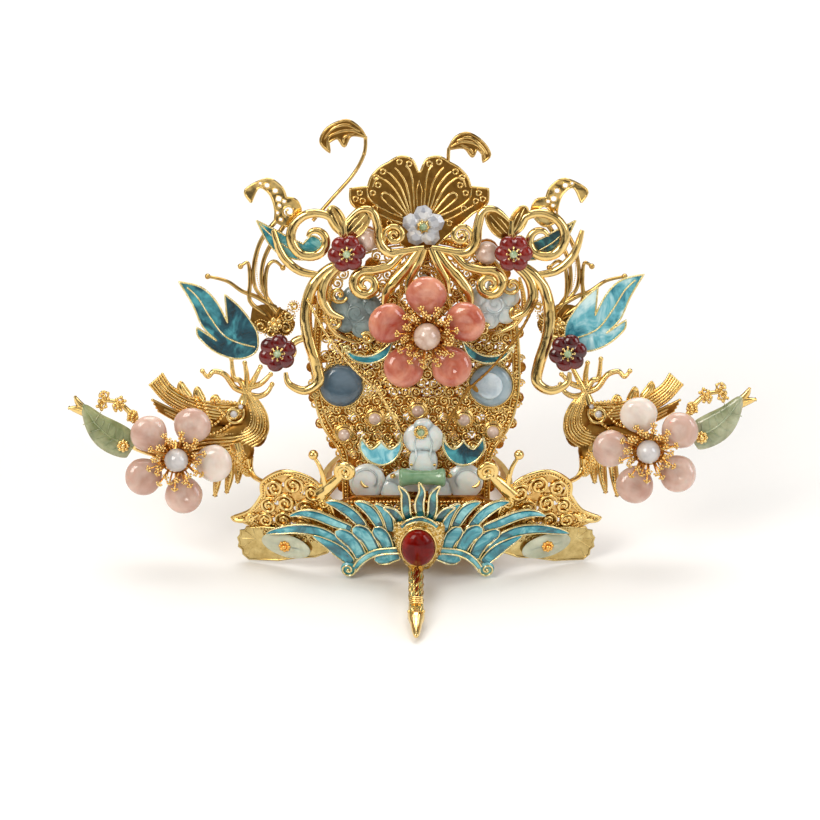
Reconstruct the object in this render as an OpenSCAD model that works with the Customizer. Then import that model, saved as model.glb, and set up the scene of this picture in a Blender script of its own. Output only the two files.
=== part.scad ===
// Hair crown: a gilt openwork crown with enamel wings and leaves, stone flowers and two birds.
// The origin is the middle of the base ring's underside. The front is -Y and up is +Z.
// The face of the crown leans back from the ring: x runs across it, u up it and w out of it.

/* [Base ring] */
// Outer width of the base ring, side to side
ring_w = 56; // [55:0.5:58]
// Outer depth of the base ring, front to back
ring_d = 54; // [53.5:0.5:54]
// Height of the base ring
ring_h = 9; // [8:0.5:9]
// Thickness of the ring's wall
ring_wall = 1.4; // [1:0.1:1.8]
// Pierced windows round the ring
ring_windows = 20; // [16:1:20]

/* [Face] */
// How far the face leans back from upright, in degrees
lean = 18; // [17:0.5:19]
// How far in front of the ring's middle the face stands
face_front = 28; // [27.5:0.5:28]
// Thickness of the gold sheet
sheet = 1.2; // [1:0.1:1.2]
// Width of the main scroll wire
wire = 1.9; // [1.4:0.1:2.1]

/* [Stones] */
// Radius of a petal of the coral coloured flower
petal_r = 6.3; // [5.5:0.1:6.4]
// Thickness of a petal of the coral coloured flower
petal_t = 4.8; // [4:0.1:5]
// Radius of a petal of a side flower
side_petal_r = 5.6; // [5:0.1:5.8]
// Thickness of a petal of a side flower
side_petals_t = 4.6; // [4:0.1:4.8]
// Radius of the pearl in the coral coloured flower
pearl_r = 4; // [3.6:0.1:4]
// Radius of the pearl in a side flower
side_pearl_r = 3.5; // [3.2:0.1:3.5]
// Radius of the small pearls of the arch
arch_pearl_r = 2.05; // [1.8:0.05:2.2]
// Radius of the round agate discs
disc_r = 6.2; // [5.5:0.1:6.4]
// Width of the red cabochon on the bird's breast
cabochon_w = 9.8; // [9:0.1:10]

/* [Fit] */
// Gap between a stone or a piece and its seat
seat = 0.3; // [0.2:0.05:0.3]

/* [Hidden] */
$fn = 32;
LEFT = -1;
RIGHT = 1;

// Colours of the metals and stones
GOLD = "#d8a548";
ENAMEL = "#2d86a0";
CORAL = "#dc7f6c";
ROSE = "#e6c3bb";
PEARL = "#f3ece4";
PEACH = "#f0c4a0";
RED = "#8c1a1c";
PALE_JADE = "#dfe4e4";
GREEN_JADE = "#a7bb92";
BLUE_AGATE = "#7d94a0";

// Where the layers of the face lie, out from the front of the panel
horn_w = 1.4;
leaf_w = 3.2;
scroll_w = 5;
scroll_t = 1.4;
ribbon_w = 6.2;
crescent_w = 9;
ruyi_w = 6;
ruyi_t = 2.5;
stone_w = seat;
flower_w = scroll_w + scroll_t + seat;
petals_w = 11;
side_petals_w = 7.5;

// The hand-bent front layers sit a little right of the ring's middle
scroll_shift = 3.4;
drop_shift = 1.8;
low_flower_shift = 1.9;

// Flowers: [x, u, angle of the first petal, ring radius of the petals]
centre_flower = [3.2, 59.8, 91, 11.7];
left_flower = [-70.2, 22, 65, 10.9];
right_flower = [68, 24.5, 33, 10.9];
petal_tilt = 12;
petals = 5;

// Places of single stones on the face: [x, u]
top_red = [24.4, 83.5];
top_red_shift = 4.1;
low_red = [42.5, 53.8];
red_r = 5.7;
disc_at = [21.9, 42.6];
cloud_jade_at = [[-17.4, 64], [22.8, 66.7]];
peach_at = [[-14.6, 86.5], [20.7, 82.6]];
peach_r = 3.4;
peach_w = 3;
arch_at = [[-21.1, 28.2], [-12.1, 33], [0.5, 35.3], [14, 32.7], [22.5, 29.1]];
ruyi_at = [14.3, 15.2];
ruyi_disc_r = 5.3;
bar_at = [1.8, 17.3];
bar_len = 13.6;
bar_r = 2.8;
crystal_at = [2.1, 90.6];

// The upright front: distances in front of the ring's middle
gallery_f = 34.3;
wing_f = 43.3;
flame_f = 43.6;
plate_f = 45;
cloud_f = 36.9;
foot_f = 38.4;
wing_turn = 10;
cloud_turn = 16;
hinge_x = 25;
wing_root_x = 5;

// Posts that carry the scroll layer on the panel: [x, u]
scroll_posts = [[16, 78.2], [2.6, 81.3]];
ribbon_post = [17, 51.6];

// A smooth curve through a short table of places

function curve_at(a, b, c, d, t) =
  0.5 * (2 * b + (c - a) * t + (2 * a - 5 * b + 4 * c - d) * t * t
  + (3 * b - a - 3 * c + d) * t * t * t);

function smooth(pts, n = 5) = concat(
  [for (i = [0 : len(pts) - 2], k = [0 : n - 1])
    curve_at(pts[max(i - 1, 0)], pts[i], pts[i + 1], pts[min(i + 2, len(pts) - 1)], k / n)],
  [pts[len(pts) - 1]]);

function coil(centre, r0, r1, a0, a1, n) =
  [for (k = [0 : n]) let (t = k / n, a = a0 + (a1 - a0) * t)
    centre + (r0 + (r1 - r0) * t) * [cos(a), sin(a)]];

function unit(v) = v / norm(v);

function heading(p, i) = unit(p[min(i + 1, len(p) - 1)] - p[max(i - 1, 0)]);

// One edge of a strip whose width goes from wide to tip along the path
function edge(p, wide, tip, way) =
  [for (i = [0 : len(p) - 1])
    let (h = heading(p, i), half = (wide + (tip - wide) * i / (len(p) - 1)) / 2)
    p[i] + way * half * [-h.y, h.x]];

function turned_round(p) = [for (i = [len(p) - 1 : -1 : 0]) p[i]];

// An outline of smooth runs that meet at sharp corners
function corners(runs, n = 4) = [for (run = runs) each smooth(run, n)];

module strip(p, wide, tip) {
  polygon(concat(edge(p, wide, tip, 1), turned_round(edge(p, wide, tip, -1))));
}

// A wire drawn flat, with a ball at its far end where one is given
module flat_wire(p, wide, tip, ball = 0) {
  strip(p, wide, tip);
  if (ball > 0)
    translate(p[len(p) - 1])
      circle(r = ball, $fn = 10);
}

// A feather that swells and runs out to a point
module feather(table, wide, n = 4) {
  p = smooth(table, n);
  last = len(p) - 1;
  half = [for (i = [0 : last]) wide / 2 * pow(1 - i / last, 0.55)];
  polygon(concat(
    [for (i = [0 : last]) let (h = heading(p, i)) p[i] + half[i] * [-h.y, h.x]],
    [for (i = [last - 1 : -1 : 0]) let (h = heading(p, i)) p[i] - half[i] * [-h.y, h.x]]));
}

module plate(height, round_off = 0.1) {
  linear_extrude(height = height)
    offset(r = round_off, $fn = 8)
      children();
}

// Puts a drawing on the leaning face, w out of the panel
module face(w = 0) {
  translate([0, -face_front, ring_h + 1])
    rotate([90 - lean, 0, 0])
      translate([0, 0, w])
        children();
}

// Puts a drawing upright, f in front of the ring's middle, hinged at x and turned back
module upright(f, x = 0, turn = 0) {
  translate([x, -f, 0])
    rotate([0, 0, turn])
      rotate([90, 0, 0])
        children();
}

// The right hand as drawn, the left as its mirror image
module hand(side, shift = 0) {
  translate([shift, 0, 0])
    if (side == LEFT)
      mirror([1, 0, 0])
        children();
    else
      children();
}

module stadium(w, d) {
  square([w - d, d], center = true);
  for (way = [-1, 1])
    translate([way * (w - d) / 2, 0])
      circle(d = d, $fn = 64);
}

// Base ring: a gilt band, pierced all round, with a shelf that carries the face

window_w = 4.4;
window_h = 4.6;
shelf_half = 22;
shelf_back = 14;

module ring_windows_cut() {
  straight = ring_w - ring_d;
  round_len = PI * ring_d / 2;
  per_end = round(ring_windows * round_len / (2 * round_len + 2 * straight));
  per_side = round(ring_windows / 2) - per_end;
  for (way = [-1, 1])
    translate([way * straight / 2, 0, ring_h / 2])
      for (k = [0 : per_end - 1])
        rotate([0, 0, (k + 0.5) * 180 / per_end - 90 + (way < 0 ? 180 : 0)])
          translate([ring_d / 2, 0, 0])
            cube([3 * ring_wall, window_w, window_h], center = true);
  for (way = [-1, 1], k = [0 : per_side - 1])
    translate([((k + 0.5) / per_side - 0.5) * straight, way * ring_d / 2, ring_h / 2])
      cube([window_w, 3 * ring_wall, window_h], center = true);
}

module base_ring() {
  color(GOLD) {
    difference() {
      linear_extrude(height = ring_h)
        stadium(ring_w, ring_d);
      translate([0, 0, -1])
        linear_extrude(height = ring_h + 2)
          stadium(ring_w - 2 * ring_wall, ring_d - 2 * ring_wall);
      ring_windows_cut();
    }
    translate([0, 0, ring_h - sheet])
      linear_extrude(height = sheet)
        difference() {
          translate([-shelf_half, seat - gallery_f])
            square([2 * shelf_half, gallery_f - seat - shelf_back]);
          stadium(ring_w - ring_wall, ring_d - ring_wall);
        }
  }
}

// Back stay: two plain arched bands from the back of the ring up to the panel

stay_x = 10;
stay_w = 4;
// Side view of a band: [distance behind the ring's middle, height]
stay_rows = [[26.3, 9.3], [27, 22], [22, 40], [9, 56], [-8.2, 64.5]];

module back_stay() {
  color(GOLD) {
    for (way = [-1, 1])
      translate([way * stay_x - stay_w / 2, 0, 0])
        rotate([90, 0, 90])
          linear_extrude(height = stay_w)
            strip(smooth(stay_rows, 6), sheet, sheet);
    translate([-stay_x, 22.4, 38.6])
      rotate([0, 90, 0])
        cylinder(d = 2, h = 2 * stay_x);
  }
}

// Panel: the openwork plate that carries the stones

// Right half of the panel's edge: [x, u]
panel_rows = [[21.5, -0.2], [21.5, 12], [22.5, 22], [28, 31], [30.5, 43], [30, 58], [28, 72],
  [21, 82], [10, 86.5], [0, 87.5]];
rim = 2.4;
lobe_r = 1.5;
pad_r = 2.4;
hole_r = 1.35;
hole_pitch = 5.4;
post_r = 1.2;

module panel_outline() {
  half = smooth(panel_rows, 4);
  polygon(concat(half, [for (p = turned_round(half)) [-p.x, p.y]]));
}

module panel_lobes() {
  half = smooth(panel_rows, 3);
  for (way = [-1, 1], i = [3 : 2 : len(half) - 4])
    translate([way * half[i].x, half[i].y])
      circle(r = lobe_r, $fn = 10);
}

// The lower part is closed by a sheet with rows of round holes
module panel_sheet() {
  difference() {
    intersection() {
      panel_outline();
      translate([-40, 0])
        square([80, 39]);
    }
    for (row = [0 : 5], k = [-4 : 4])
      translate([(k + (row % 2) / 2) * hole_pitch, 6 + row * hole_pitch])
        if (abs(k + (row % 2) / 2) * hole_pitch < (row < 3 ? 18.6 : 21))
          circle(r = hole_r, $fn = 8);
  }
}

// Bars of the upper part, from the middle flower out to the rim
module panel_bars() {
  middle = [centre_flower.x, centre_flower.y];
  for (p = [[-24, 36], [24, 36], [-28, 58], [28, 60], [-20, 80], [22, 80], [2.6, 86]])
    strip([middle, p], 2, 2);
  for (a = [0 : 60 : 300])
    strip(coil(middle, 13, 13, a, a + 60, 6), 1.6, 1.6);
  strip([[-28.5, 57.4], [28.5, 57.4]], 2.4, 2.4);
  translate(middle)
    circle(r = 3);
}

module panel_pads() {
  for (way = [-1, 1]) {
    translate([way * disc_at.x, disc_at.y])
      circle(r = 4, $fn = 16);
    translate([scroll_shift + way * ribbon_post.x, ribbon_post.y])
      circle(r = pad_r, $fn = 12);
    strip([[scroll_shift + way * 17, 51.6], [way * 29, 50]], 2, 2);
    for (p = scroll_posts)
      translate([scroll_shift + way * p.x, p.y])
        circle(r = pad_r, $fn = 12);
  }
  for (p = peach_at)
    translate(p)
      circle(r = 3.4, $fn = 16);
  for (p = cloud_jade_at) {
    translate(p)
      circle(r = 4, $fn = 16);
    strip([p, [sign(p.x) * 28, 68]], 2.4, 2.4);
  }
}

module panel() {
  color(GOLD) {
    face(-sheet)
      linear_extrude(height = sheet)
        difference() {
          offset(r = 0.1, $fn = 8) {
            difference() {
              panel_outline();
              offset(delta = -rim)
                panel_outline();
            }
            panel_lobes();
            panel_sheet();
            panel_bars();
            panel_pads();
          }
          for (p = peach_at)
            translate(p)
              circle(r = 2.1);
        }
    for (way = [-1, 1])
      face(-sheet / 2)
        translate([way * ruyi_at.x, ruyi_at.y, 0])
          cylinder(r = post_r, h = sheet / 2 + ruyi_w - seat);
  }
}

// Gallery: the pierced band under the ruyi, in front of the ring

// Edge of the band: [x, height]
gallery_edge = [[-24.2, 9], [-12, 6.2], [12, 6.2], [24.2, 9], [24.2, 22], [18, 24.4], [-18, 24.4],
  [-24.2, 22]];
gallery_half = 24.2;
gallery_rows = 3;
gallery_gaps = 9;

module gallery() {
  pitch = 2 * (gallery_half - 1.5) / gallery_gaps;
  color(GOLD)
    upright(gallery_f)
      linear_extrude(height = sheet)
        difference() {
          polygon(gallery_edge);
          for (row = [0 : gallery_rows - 1], k = [0 : gallery_gaps - 1])
            translate([(k + 0.5 - gallery_gaps / 2) * pitch, 10.4 + row * 5])
              circle(r = 1.9, $fn = 6);
        }
}

// Agate discs and carved cloud jades on the panel

module agate_disc(side) {
  color(BLUE_AGATE)
    face(stone_w)
      translate([side * disc_at.x, disc_at.y, 0])
        rotate_extrude()
          polygon([[0, 0], [disc_r - 0.6, 0], [disc_r, 0.8], [disc_r, 1.8], [disc_r - 0.9, 2.7],
            [disc_r - 2.2, 3], [0, 3.2]]);
}

// Lobes of a cloud: [x, u, radius]
cloud_lobes = [[0, 0, 4.4], [4.3, 2.6, 3.2], [1, 5.3, 3.2], [-4, 2.6, 3.1], [-1.5, -4, 3.2], [3.4, -2.6, 3]];

module cloud_jade(side) {
  color(PALE_JADE)
    face(stone_w)
      hand(side)
        translate([abs(cloud_jade_at[side > 0 ? 1 : 0].x), cloud_jade_at[side > 0 ? 1 : 0].y, 0])
          plate(2.6)
            for (l = cloud_lobes)
              translate([l.x, l.y])
                circle(r = l.z, $fn = 24);
}

module arch_pearls() {
  color(PEARL)
    for (p = arch_at)
      face(seat + arch_pearl_r)
        translate([p.x, p.y, 0])
          sphere(r = arch_pearl_r);
}

// Ruyi: one carved pale jade plate, two discs and a cap on a neck

// Right half of the cap: [x, u]
cap_rows = [[2.8, 17], [3.8, 21], [4.4, 23.8], [6, 26.8], [5.8, 30.6], [4, 33.2], [1.6, 33.2], [0, 34]];

module jade_ruyi() {
  half = smooth(cap_rows, 3);
  color(PALE_JADE)
    face(ruyi_w)
      plate(ruyi_t)
        union() {
          for (way = [-1, 1]) {
            translate([way * ruyi_at.x, ruyi_at.y])
              circle(r = ruyi_disc_r, $fn = 32);
            translate([way * 6.6, 13])
              circle(r = 3.6, $fn = 20);
          }
          translate([-8, 12])
            square([16, 6]);
          translate([2.1, 0])
            polygon(concat(half, [for (p = turned_round(half)) [-p.x, p.y]]));
        }
}

module jade_bar() {
  color("#9cc4a2")
    face(ruyi_w + ruyi_t + seat + bar_r)
      translate([bar_at.x - bar_len / 2, bar_at.y, 0])
        rotate([0, 90, 0])
          rotate_extrude()
            polygon([[0, 0], [bar_r - 0.4, 0], [bar_r, 0.6], [bar_r - 0.5, 3], [bar_r - 0.7, bar_len / 2],
              [bar_r - 0.5, bar_len - 3], [bar_r, bar_len - 0.6], [bar_r - 0.4, bar_len], [0, bar_len]]);
}

// Flowers of polished stone petals round a pearl, held by a gold calyx with stamens

// A petal: the lens where two balls meet
module petal(r, t) {
  ball = (r * r + t * t / 4) / t;
  intersection() {
    translate([0, 0, ball - t / 2])
      sphere(r = ball, $fn = 48);
    translate([0, 0, t / 2 - ball])
      sphere(r = ball, $fn = 48);
  }
}

module flower_petals(flower, w, r, t) {
  for (k = [0 : petals - 1])
    face(w)
      translate([flower.x, flower.y, 0])
        rotate([0, 0, flower.z - k * 360 / petals])
          translate([flower[3], 0, 0])
            rotate([0, -petal_tilt, 0])
              petal(r, t);
}

collar_top = -1.8;
arm_t = 1;
stamens = 12;

// The arms lie just behind petals of thickness t
function arm_bottom(t) = -t / 2 - arm_t - 0.45;

module knob(r, h, size) {
  translate([r, 0, h])
    sphere(r = size, $fn = 6);
}

// Calyx: collar under the pearl, an arm behind each petal, and a ring of stamens
module calyx(flower, w, bead_r, t, back) {
  low = arm_bottom(t);
  face(w)
    translate([flower.x, flower.y, 0]) {
      translate([0, 0, low])
        cylinder(r = bead_r + 0.4, h = collar_top - low, $fn = 20);
      translate([0, 0, back - w])
        cylinder(r = post_r, h = w - back + low + 0.5, $fn = 12);
      for (k = [0 : petals - 1])
        rotate([0, 0, flower.z - k * 360 / petals])
          hull() {
            translate([0, 0, low])
              cylinder(r = 1.6, h = arm_t, $fn = 8);
            translate([flower[3], 0, low])
              cylinder(r = 1.6, h = arm_t, $fn = 8);
          }
      for (k = [0 : stamens - 1])
        rotate([0, 0, (k + 0.5) * 360 / stamens]) {
          hull() {
            knob(bead_r + 0.2, collar_top - 0.4, 0.4);
            knob(bead_r + 0.9, 1.2, 0.4);
          }
          hull() {
            knob(bead_r + 0.9, 1.2, 0.4);
            knob(bead_r + 4.9, 4.2 + 0.4 * (k % 2), 0.6);
          }
        }
    }
}

module flower_pearl(flower, w, r, tint) {
  color(tint)
    face(w + collar_top + seat + r)
      translate([flower.x, flower.y, 0])
        sphere(r = r);
}

// Branch behind a side flower, out to the gold tip past the jade leaf: [x, u, radius]
branch_rows = [[2, 0, 1.6], [11, 3, 1.8], [19, 8, 2], [26, 13, 1.5], [31.4, 14.3, 0.6]];
branch_drop = 1.2;
branch_t = 1.4;
spray_rows = [[11, 3, 1.4], [12, 11, 1.3], [17, 17, 1.2], [23, 17.5, 0.8]];

module side_calyx(side, flower) {
  color(GOLD) {
    calyx(flower, side_petals_w, side_pearl_r, side_petals_t, 1.9);
    face(side_petals_w + arm_bottom(side_petals_t) - branch_drop)
      translate([flower.x, flower.y, 0])
        hand(side)
          for (rows = [branch_rows, spray_rows], i = [0 : len(rows) - 2])
            hull()
              for (row = [rows[i], rows[i + 1]])
                translate([row.x, row.y, 0])
                  cylinder(r = row.z, h = branch_t, $fn = 8);
  }
}

// Crystal flower on the foot of the fan

crystal_petal_r = 2.9;

module crystal_flower() {
  color("#e8eef2")
    face(sheet + rib_t + 2 * seat)
      translate([crystal_at.x, crystal_at.y, 0]) {
        for (k = [0 : 4])
          rotate([0, 0, 90 + k * 72])
            translate([3.55, 0, 0])
              cylinder(r1 = crystal_petal_r, r2 = crystal_petal_r - 0.9, h = 2, $fn = 32);
        cylinder(r = 2.4, h = 2.4);
      }
}

// Red carved flowers: six lobes in two steps and a small bead in the middle

module lobed(r, lobe, inset) {
  for (k = [0 : 5])
    rotate(k * 60)
      translate([r - lobe, 0])
        circle(r = lobe - inset, $fn = 20);
  circle(r = r - lobe, $fn = 24);
}

module red_flower(x, u, w) {
  color(RED)
    face(w)
      translate([x, u, 0]) {
        plate(1.6)
          lobed(red_r, 2.2, 0);
        plate(2.6)
          lobed(red_r - 0.4, 2.2, 0.8);
        cylinder(r = 1.7, h = 3.4);
      }
}

module peach_pearl(k) {
  color(PEACH)
    face(peach_w)
      translate([peach_at[k].x, peach_at[k].y, 0])
        sphere(r = peach_r);
}

// Fan: a two-lobed shell with raised ribs, standing above the panel

fan_x = 0.9;
// Right half of the fan's edge in runs that meet at corners: [x, u]
fan_runs = [[[0, 83], [4, 84], [9, 88], [15.6, 94]], [[15.6, 94], [19.8, 97], [20.2, 101.4]],
  [[20.2, 101.4], [15, 102]], [[15, 102], [14, 105], [11.4, 107.8], [9, 109.2]],
  [[9, 109.2], [5.8, 111], [2.2, 110.2], [0.4, 106.5]]];
fan_ribs = 5;
rib_t = 0.5;

module fan() {
  half = corners(fan_runs);
  color(GOLD)
    face(seat)
      translate([fan_x, 0, 0]) {
        plate(sheet)
          polygon(concat(half, [for (p = turned_round(half)) [-p.x, p.y]]));
        for (way = [-1, 1], k = [0 : fan_ribs - 1]) {
          a = 12 + k * 15;
          linear_extrude(height = sheet + rib_t)
            strip([[way * 1.5, 89], [way * 1.5 + way * 14 * sin(a), 90 + 18 * cos(a) * (1 - k * 0.06)]],
              0.8, 0.8);
        }
      }
}

// Scrolls: flat bent wires in front of the panel

knot = [1, 84.5];
scroll_strands = [
  concat(smooth([knot, [7, 83.2], [11, 79.4], [16, 77.9]]), coil([18, 73.8], 4.2, 0.9, 85, -460, 26)),
  smooth([knot, [7, 83.5], [11.2, 83.2], [14, 86.2], [14.6, 91], [16.2, 95.6], [20, 96], [24, 92.5]]),
  concat([[24.5, 88], [27, 91.6]], coil([33.6, 87.3], 8.3, 1.6, 128, -330, 30)),
  smooth([[45.2, 90], [42.6, 82.5], [37.5, 77.8], [31.5, 76.6]]),
  smooth([[24, 80.5], [29, 78.4], [33.6, 73.5], [35.6, 66], [35, 58], [32.6, 50], [32, 44.6], [36, 42],
    [40.6, 44], [41.6, 47.5]]),
  smooth([[25, 80], [29.6, 75.5], [30.8, 70], [28.6, 65.6], [24.6, 63.6]]),
  smooth([knot, [3, 79.8], [5.3, 75.5], [6.2, 71]]),
  smooth([[2.4, 84.5], [6, 79], [9.6, 75], [12, 71.3], [12.8, 66]]),
  smooth([[34.8, 58], [38.5, 57], [low_red.x - 1.4, low_red.y + 0.4]])
];

// Gold petals above the top red flower, from their root to the middle of the tip, and their width
gold_petals = [[[24.6, 88], [19.2, 92.9], 6], [[25, 89], [27.8, 94.8], 4.8]];

module scroll(side) {
  color(GOLD)
    face(scroll_w)
      hand(side, scroll_shift) {
        plate(scroll_t)
          union() {
            for (p = scroll_strands)
              strip(p, wire, wire * 0.75);
            for (p = gold_petals) {
              strip([p[0], p[1]], 2.4, p[2]);
              translate(p[1])
                circle(r = p[2] / 2, $fn = 20);
            }
            translate([low_red.x - 1.4, low_red.y])
              circle(r = 3, $fn = 16);
            translate([0.9 + seat, 80.5])
              square([1.8, 5.4]);
            translate([24.6, 84])
              circle(r = 2.6, $fn = 16);
            strip([[24.6, 84], [26, 80]], 2, 2);
            strip([[24.6, 84], [24.6, 93]], 2, 2);
          }
        for (p = scroll_posts)
          translate([p.x, p.y, seat - scroll_w])
            cylinder(r = post_r, h = scroll_w - seat + 0.5);
      }
}

// Horns: thin openwork blades with a hooked tip on a double stem

horn_edge = [[[48.3, 97.5], [50, 101.2], [43.6, 104.6], [39.4, 102.2], [38, 99]], [[38, 99], [35, 98.2],
  [33.8, 94.4], [37.4, 90.4], [41.4, 92]], [[41.4, 92], [41.3, 95.5], [42.8, 100], [46, 102], [48.3, 97.5]]];
horn_stems = [
  [[41, 92], [45.2, 86.4], [47.4, 79.3], [47.2, 72.4], [44, 68], [41, 64.6]],
  [[38.6, 90.6], [43, 84], [45, 78.4], [45, 72], [42.4, 67.4], [40, 64]],
  [[41, 66], [47, 69.4], [51, 71], [55.4, 74], [61, 75.4]],
  [[44, 64], [48.6, 68], [48.6, 74], [49.2, 79.4], [51.4, 78.4]],
  [[40.6, 63.8], [43.8, 69], [43.8, 77.2], [41.6, 80], [39, 78]]
];
horn_root = [[48, 66], [44, 67], [38, 65], [35.4, 61], [38, 57.8], [42, 57.6], [46.4, 59.4], [48.4, 62]];
horn_wire = 1.1;

module horn(side) {
  color(GOLD)
    face(horn_w)
      hand(side) {
        plate(sheet)
          difference() {
            union() {
              polygon(corners(horn_edge, 3));
              for (rows = horn_stems)
                flat_wire(smooth(rows, 4), horn_wire, horn_wire, 0.9);
              polygon(horn_root);
            }
            translate([37.2, 94.8])
              circle(r = 1.3, $fn = 12);
          }
        translate([41.4, 61.4, sheet / 2])
          cylinder(r = post_r, h = scroll_w - horn_w - sheet / 2 - seat);
      }
}

// Curls: a leaf-like hook on a long thin stem, the right one bent lower

left_curl_stem = [[30.2, 92.4], [24.6, 99], [18.4, 106.2], [15.2, 112.4], [14.6, 117], [16.8, 119.8]];
left_curl_leaf = [[[14.8, 117.4], [16.6, 120.2], [20.4, 122.4], [25.8, 120.2], [28, 116], [25.3, 112.8]],
  [[25.3, 112.8], [25.6, 115.8]], [[25.6, 115.8], [23, 117], [21, 114.6], [19, 117.8], [14.8, 117.4]]];
right_curl_stem = [[9, 100], [9.2, 106], [9.4, 112.4], [11.6, 116]];
right_curl_leaf = [[[9.4, 112.8], [11.6, 116.4], [15.2, 117.6], [19.4, 115], [21.6, 111.2], [19.6, 109]],
  [[19.6, 109], [19.4, 111.4]], [[19.4, 111.4], [17.8, 112.8], [16.4, 110.6], [14, 113.2], [9.4, 112.8]]];
curl_wire = 1.2;

module curl(w, mirrored, stem, leaf) {
  color(GOLD)
    face(w)
      hand(mirrored)
        plate(sheet) {
          strip(smooth(stem, 4), curl_wire, curl_wire);
          polygon(corners(leaf, 3));
        }
}

// Enamel leaves

big_leaf_edge = [[[69.4, 74.2], [63, 72.6], [58.6, 68.4], [55.2, 62]], [[55.2, 62], [56, 70.4]],
  [[56, 70.4], [52, 67], [48.4, 62.4], [46.4, 58.2], [47, 53.2], [52.2, 51.2], [58.6, 53.2], [63.6, 57.6],
  [64.2, 60.6]], [[64.2, 60.6], [58.4, 56.6]], [[58.4, 56.6], [62.6, 61], [65.4, 67.4], [69.4, 74.2]]];
right_leaf_slide = [-2.8, 2.2];
small_leaf_edge = [[[46.6, 92.4], [41, 89.6], [37.5, 87.6], [33, 85.5]], [[33, 85.5], [32.6, 82],
  [35, 80.8], [40, 82.6], [43.6, 86.4], [46.6, 92.4]]];

module leaf(side, rows, slide = [0, 0]) {
  color(ENAMEL)
    face(leaf_w)
      translate(slide)
        hand(side)
          plate(sheet)
            polygon(corners(rows, 4));
}

// Birds: modelled body, ribbed wing and tail, with an arm down to the cloud

// Rounded lengths of the bird: [x, u, w, radius]
bird_lengths = [
  [[49.6, 41.4, 0, 1.1], [47.4, 37, 0, 2.1], [46.2, 31.6, 0, 3.6], [49.6, 27.6, 0, 4],
    [56, 28.4, 0, 3.6], [63, 27.4, 0, 3.4], [69.4, 23.4, 0, 3]],
  [[54, 33, 0, 2], [61, 36.6, 0, 2.6], [68, 41, 0, 2.3], [74.6, 46, 0, 1.8]],
  [[58, 31, 0, 2], [66, 33, 0, 2.2], [73, 36.6, 0, 1.6]],
  [[50.6, 25, 0, 1.7], [51.8, 18, 0, 1.2], [52.6, 12.6, 0, 0.7]],
  [[53.4, 25, 0, 1.7], [55, 17, 0, 1.3], [56, 9.4, 0, 0.7]],
  [[56.6, 25, 0, 1.6], [58.4, 17.6, 0, 1.2], [59.6, 12.4, 0, 0.7]],
  [[49.6, 41.4, 0, 1.1], [53, 44.4, 0, 0.9], [57, 46, 0, 0.8], [61.4, 47.4, 0, 0.7]],
  [[50.4, 42, 0, 1], [52.4, 45.6, 0, 0.8], [53.8, 50, 0, 0.6]],
  [[49.4, 42, 0, 1], [48.4, 45, 0, 0.8], [46.2, 48.2, 0, 0.6]],
  [[49, 41, 0, 1], [45.6, 41.2, 0, 0.8], [42.4, 43.6, 0, 0.6]]
];
bird_flat = 0.5;
// The arm from the bird's foot to the back of the cloud: [x, y, z, radius]
arm_rows = [[48.8, -21.2, 30, 1.5], [48.6, -21.8, 26, 1.1], [47.2, -25, 25, 0.8],
  [43.4, -29.4, 25.4, 0.7]];

module bird(side) {
  color(GOLD)
    hand(side) {
      face()
        scale([1, 1, bird_flat])
          for (rows = bird_lengths, i = [0 : len(rows) - 2])
            hull()
              for (row = [rows[i], rows[i + 1]])
                translate([row[0], row[1], row[2]])
                  sphere(r = row[3], $fn = 8);
      for (i = [0 : len(arm_rows) - 2])
        hull()
          for (row = [arm_rows[i], arm_rows[i + 1]])
            translate([row[0], row[1], row[2]])
              sphere(r = row[3], $fn = 8);
    }
}

// Jade leaves beside the side flowers, from the flower outwards: [x, u]
jade_leaf_edge = [[[12.4, 1.2], [17.2, 0.4], [22.6, 2.4], [26, 7.6], [27.4, 16]], [[27.4, 16], [20, 13.8],
  [14.6, 9], [12.4, 1.2]]];

module jade_leaf(side, flower) {
  color(GREEN_JADE)
    face(side_petals_w + arm_bottom(side_petals_t) - branch_drop + branch_t + seat)
      translate([flower.x, flower.y, 0])
        hand(side)
          plate(1.6)
            polygon(corners(jade_leaf_edge, 4));
}

// Tendrils with their enamel crescents and ribbons

// A tendril's places on the face: [x, u, w]
tendril_rows = [[33.4, 69.4, 7.7], [28.4, 60, 8.6], [20.6, 50, 9.4], [13.4, 43, 9.8], [9, 36, 9.8],
  [7, 31.6, 9.6]];
tendril_r = 0.8;
tendril_sides = 6;

function tube_points(p, r, sides) =
  [for (i = [0 : len(p) - 1], k = [0 : sides - 1])
    let (h = heading(p, i), across = unit(cross(h, [0, 0, 1])), up = cross(across, h), a = k * 360 / sides)
    p[i] + r * (cos(a) * across + sin(a) * up)];

function tube_faces(rings, sides) = concat(
  [for (i = [0 : rings - 2], k = [0 : sides - 1]) each
    let (a = i * sides + k, b = i * sides + (k + 1) % sides) [[a, a + sides, b], [b, a + sides, b + sides]]],
  [[for (k = [0 : sides - 1]) k]],
  [[for (k = [sides - 1 : -1 : 0]) (rings - 1) * sides + k]]);

module tendril(side) {
  p = smooth(tendril_rows, 4);
  color(GOLD)
    hand(side, drop_shift)
      face()
        polyhedron(points = tube_points(p, tendril_r, tendril_sides),
          faces = tube_faces(len(p), tendril_sides), convexity = 6);
}

crescent_edge = [[[6.3, 30], [7, 27], [9.4, 25.4], [12, 27.6]], [[12, 27.6], [15, 25.4], [17.8, 28.8]],
  [[17.8, 28.8], [18.2, 25.4], [15.8, 22], [12, 20.6], [8.4, 22], [6.2, 25.6], [6.3, 30]]];

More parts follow.
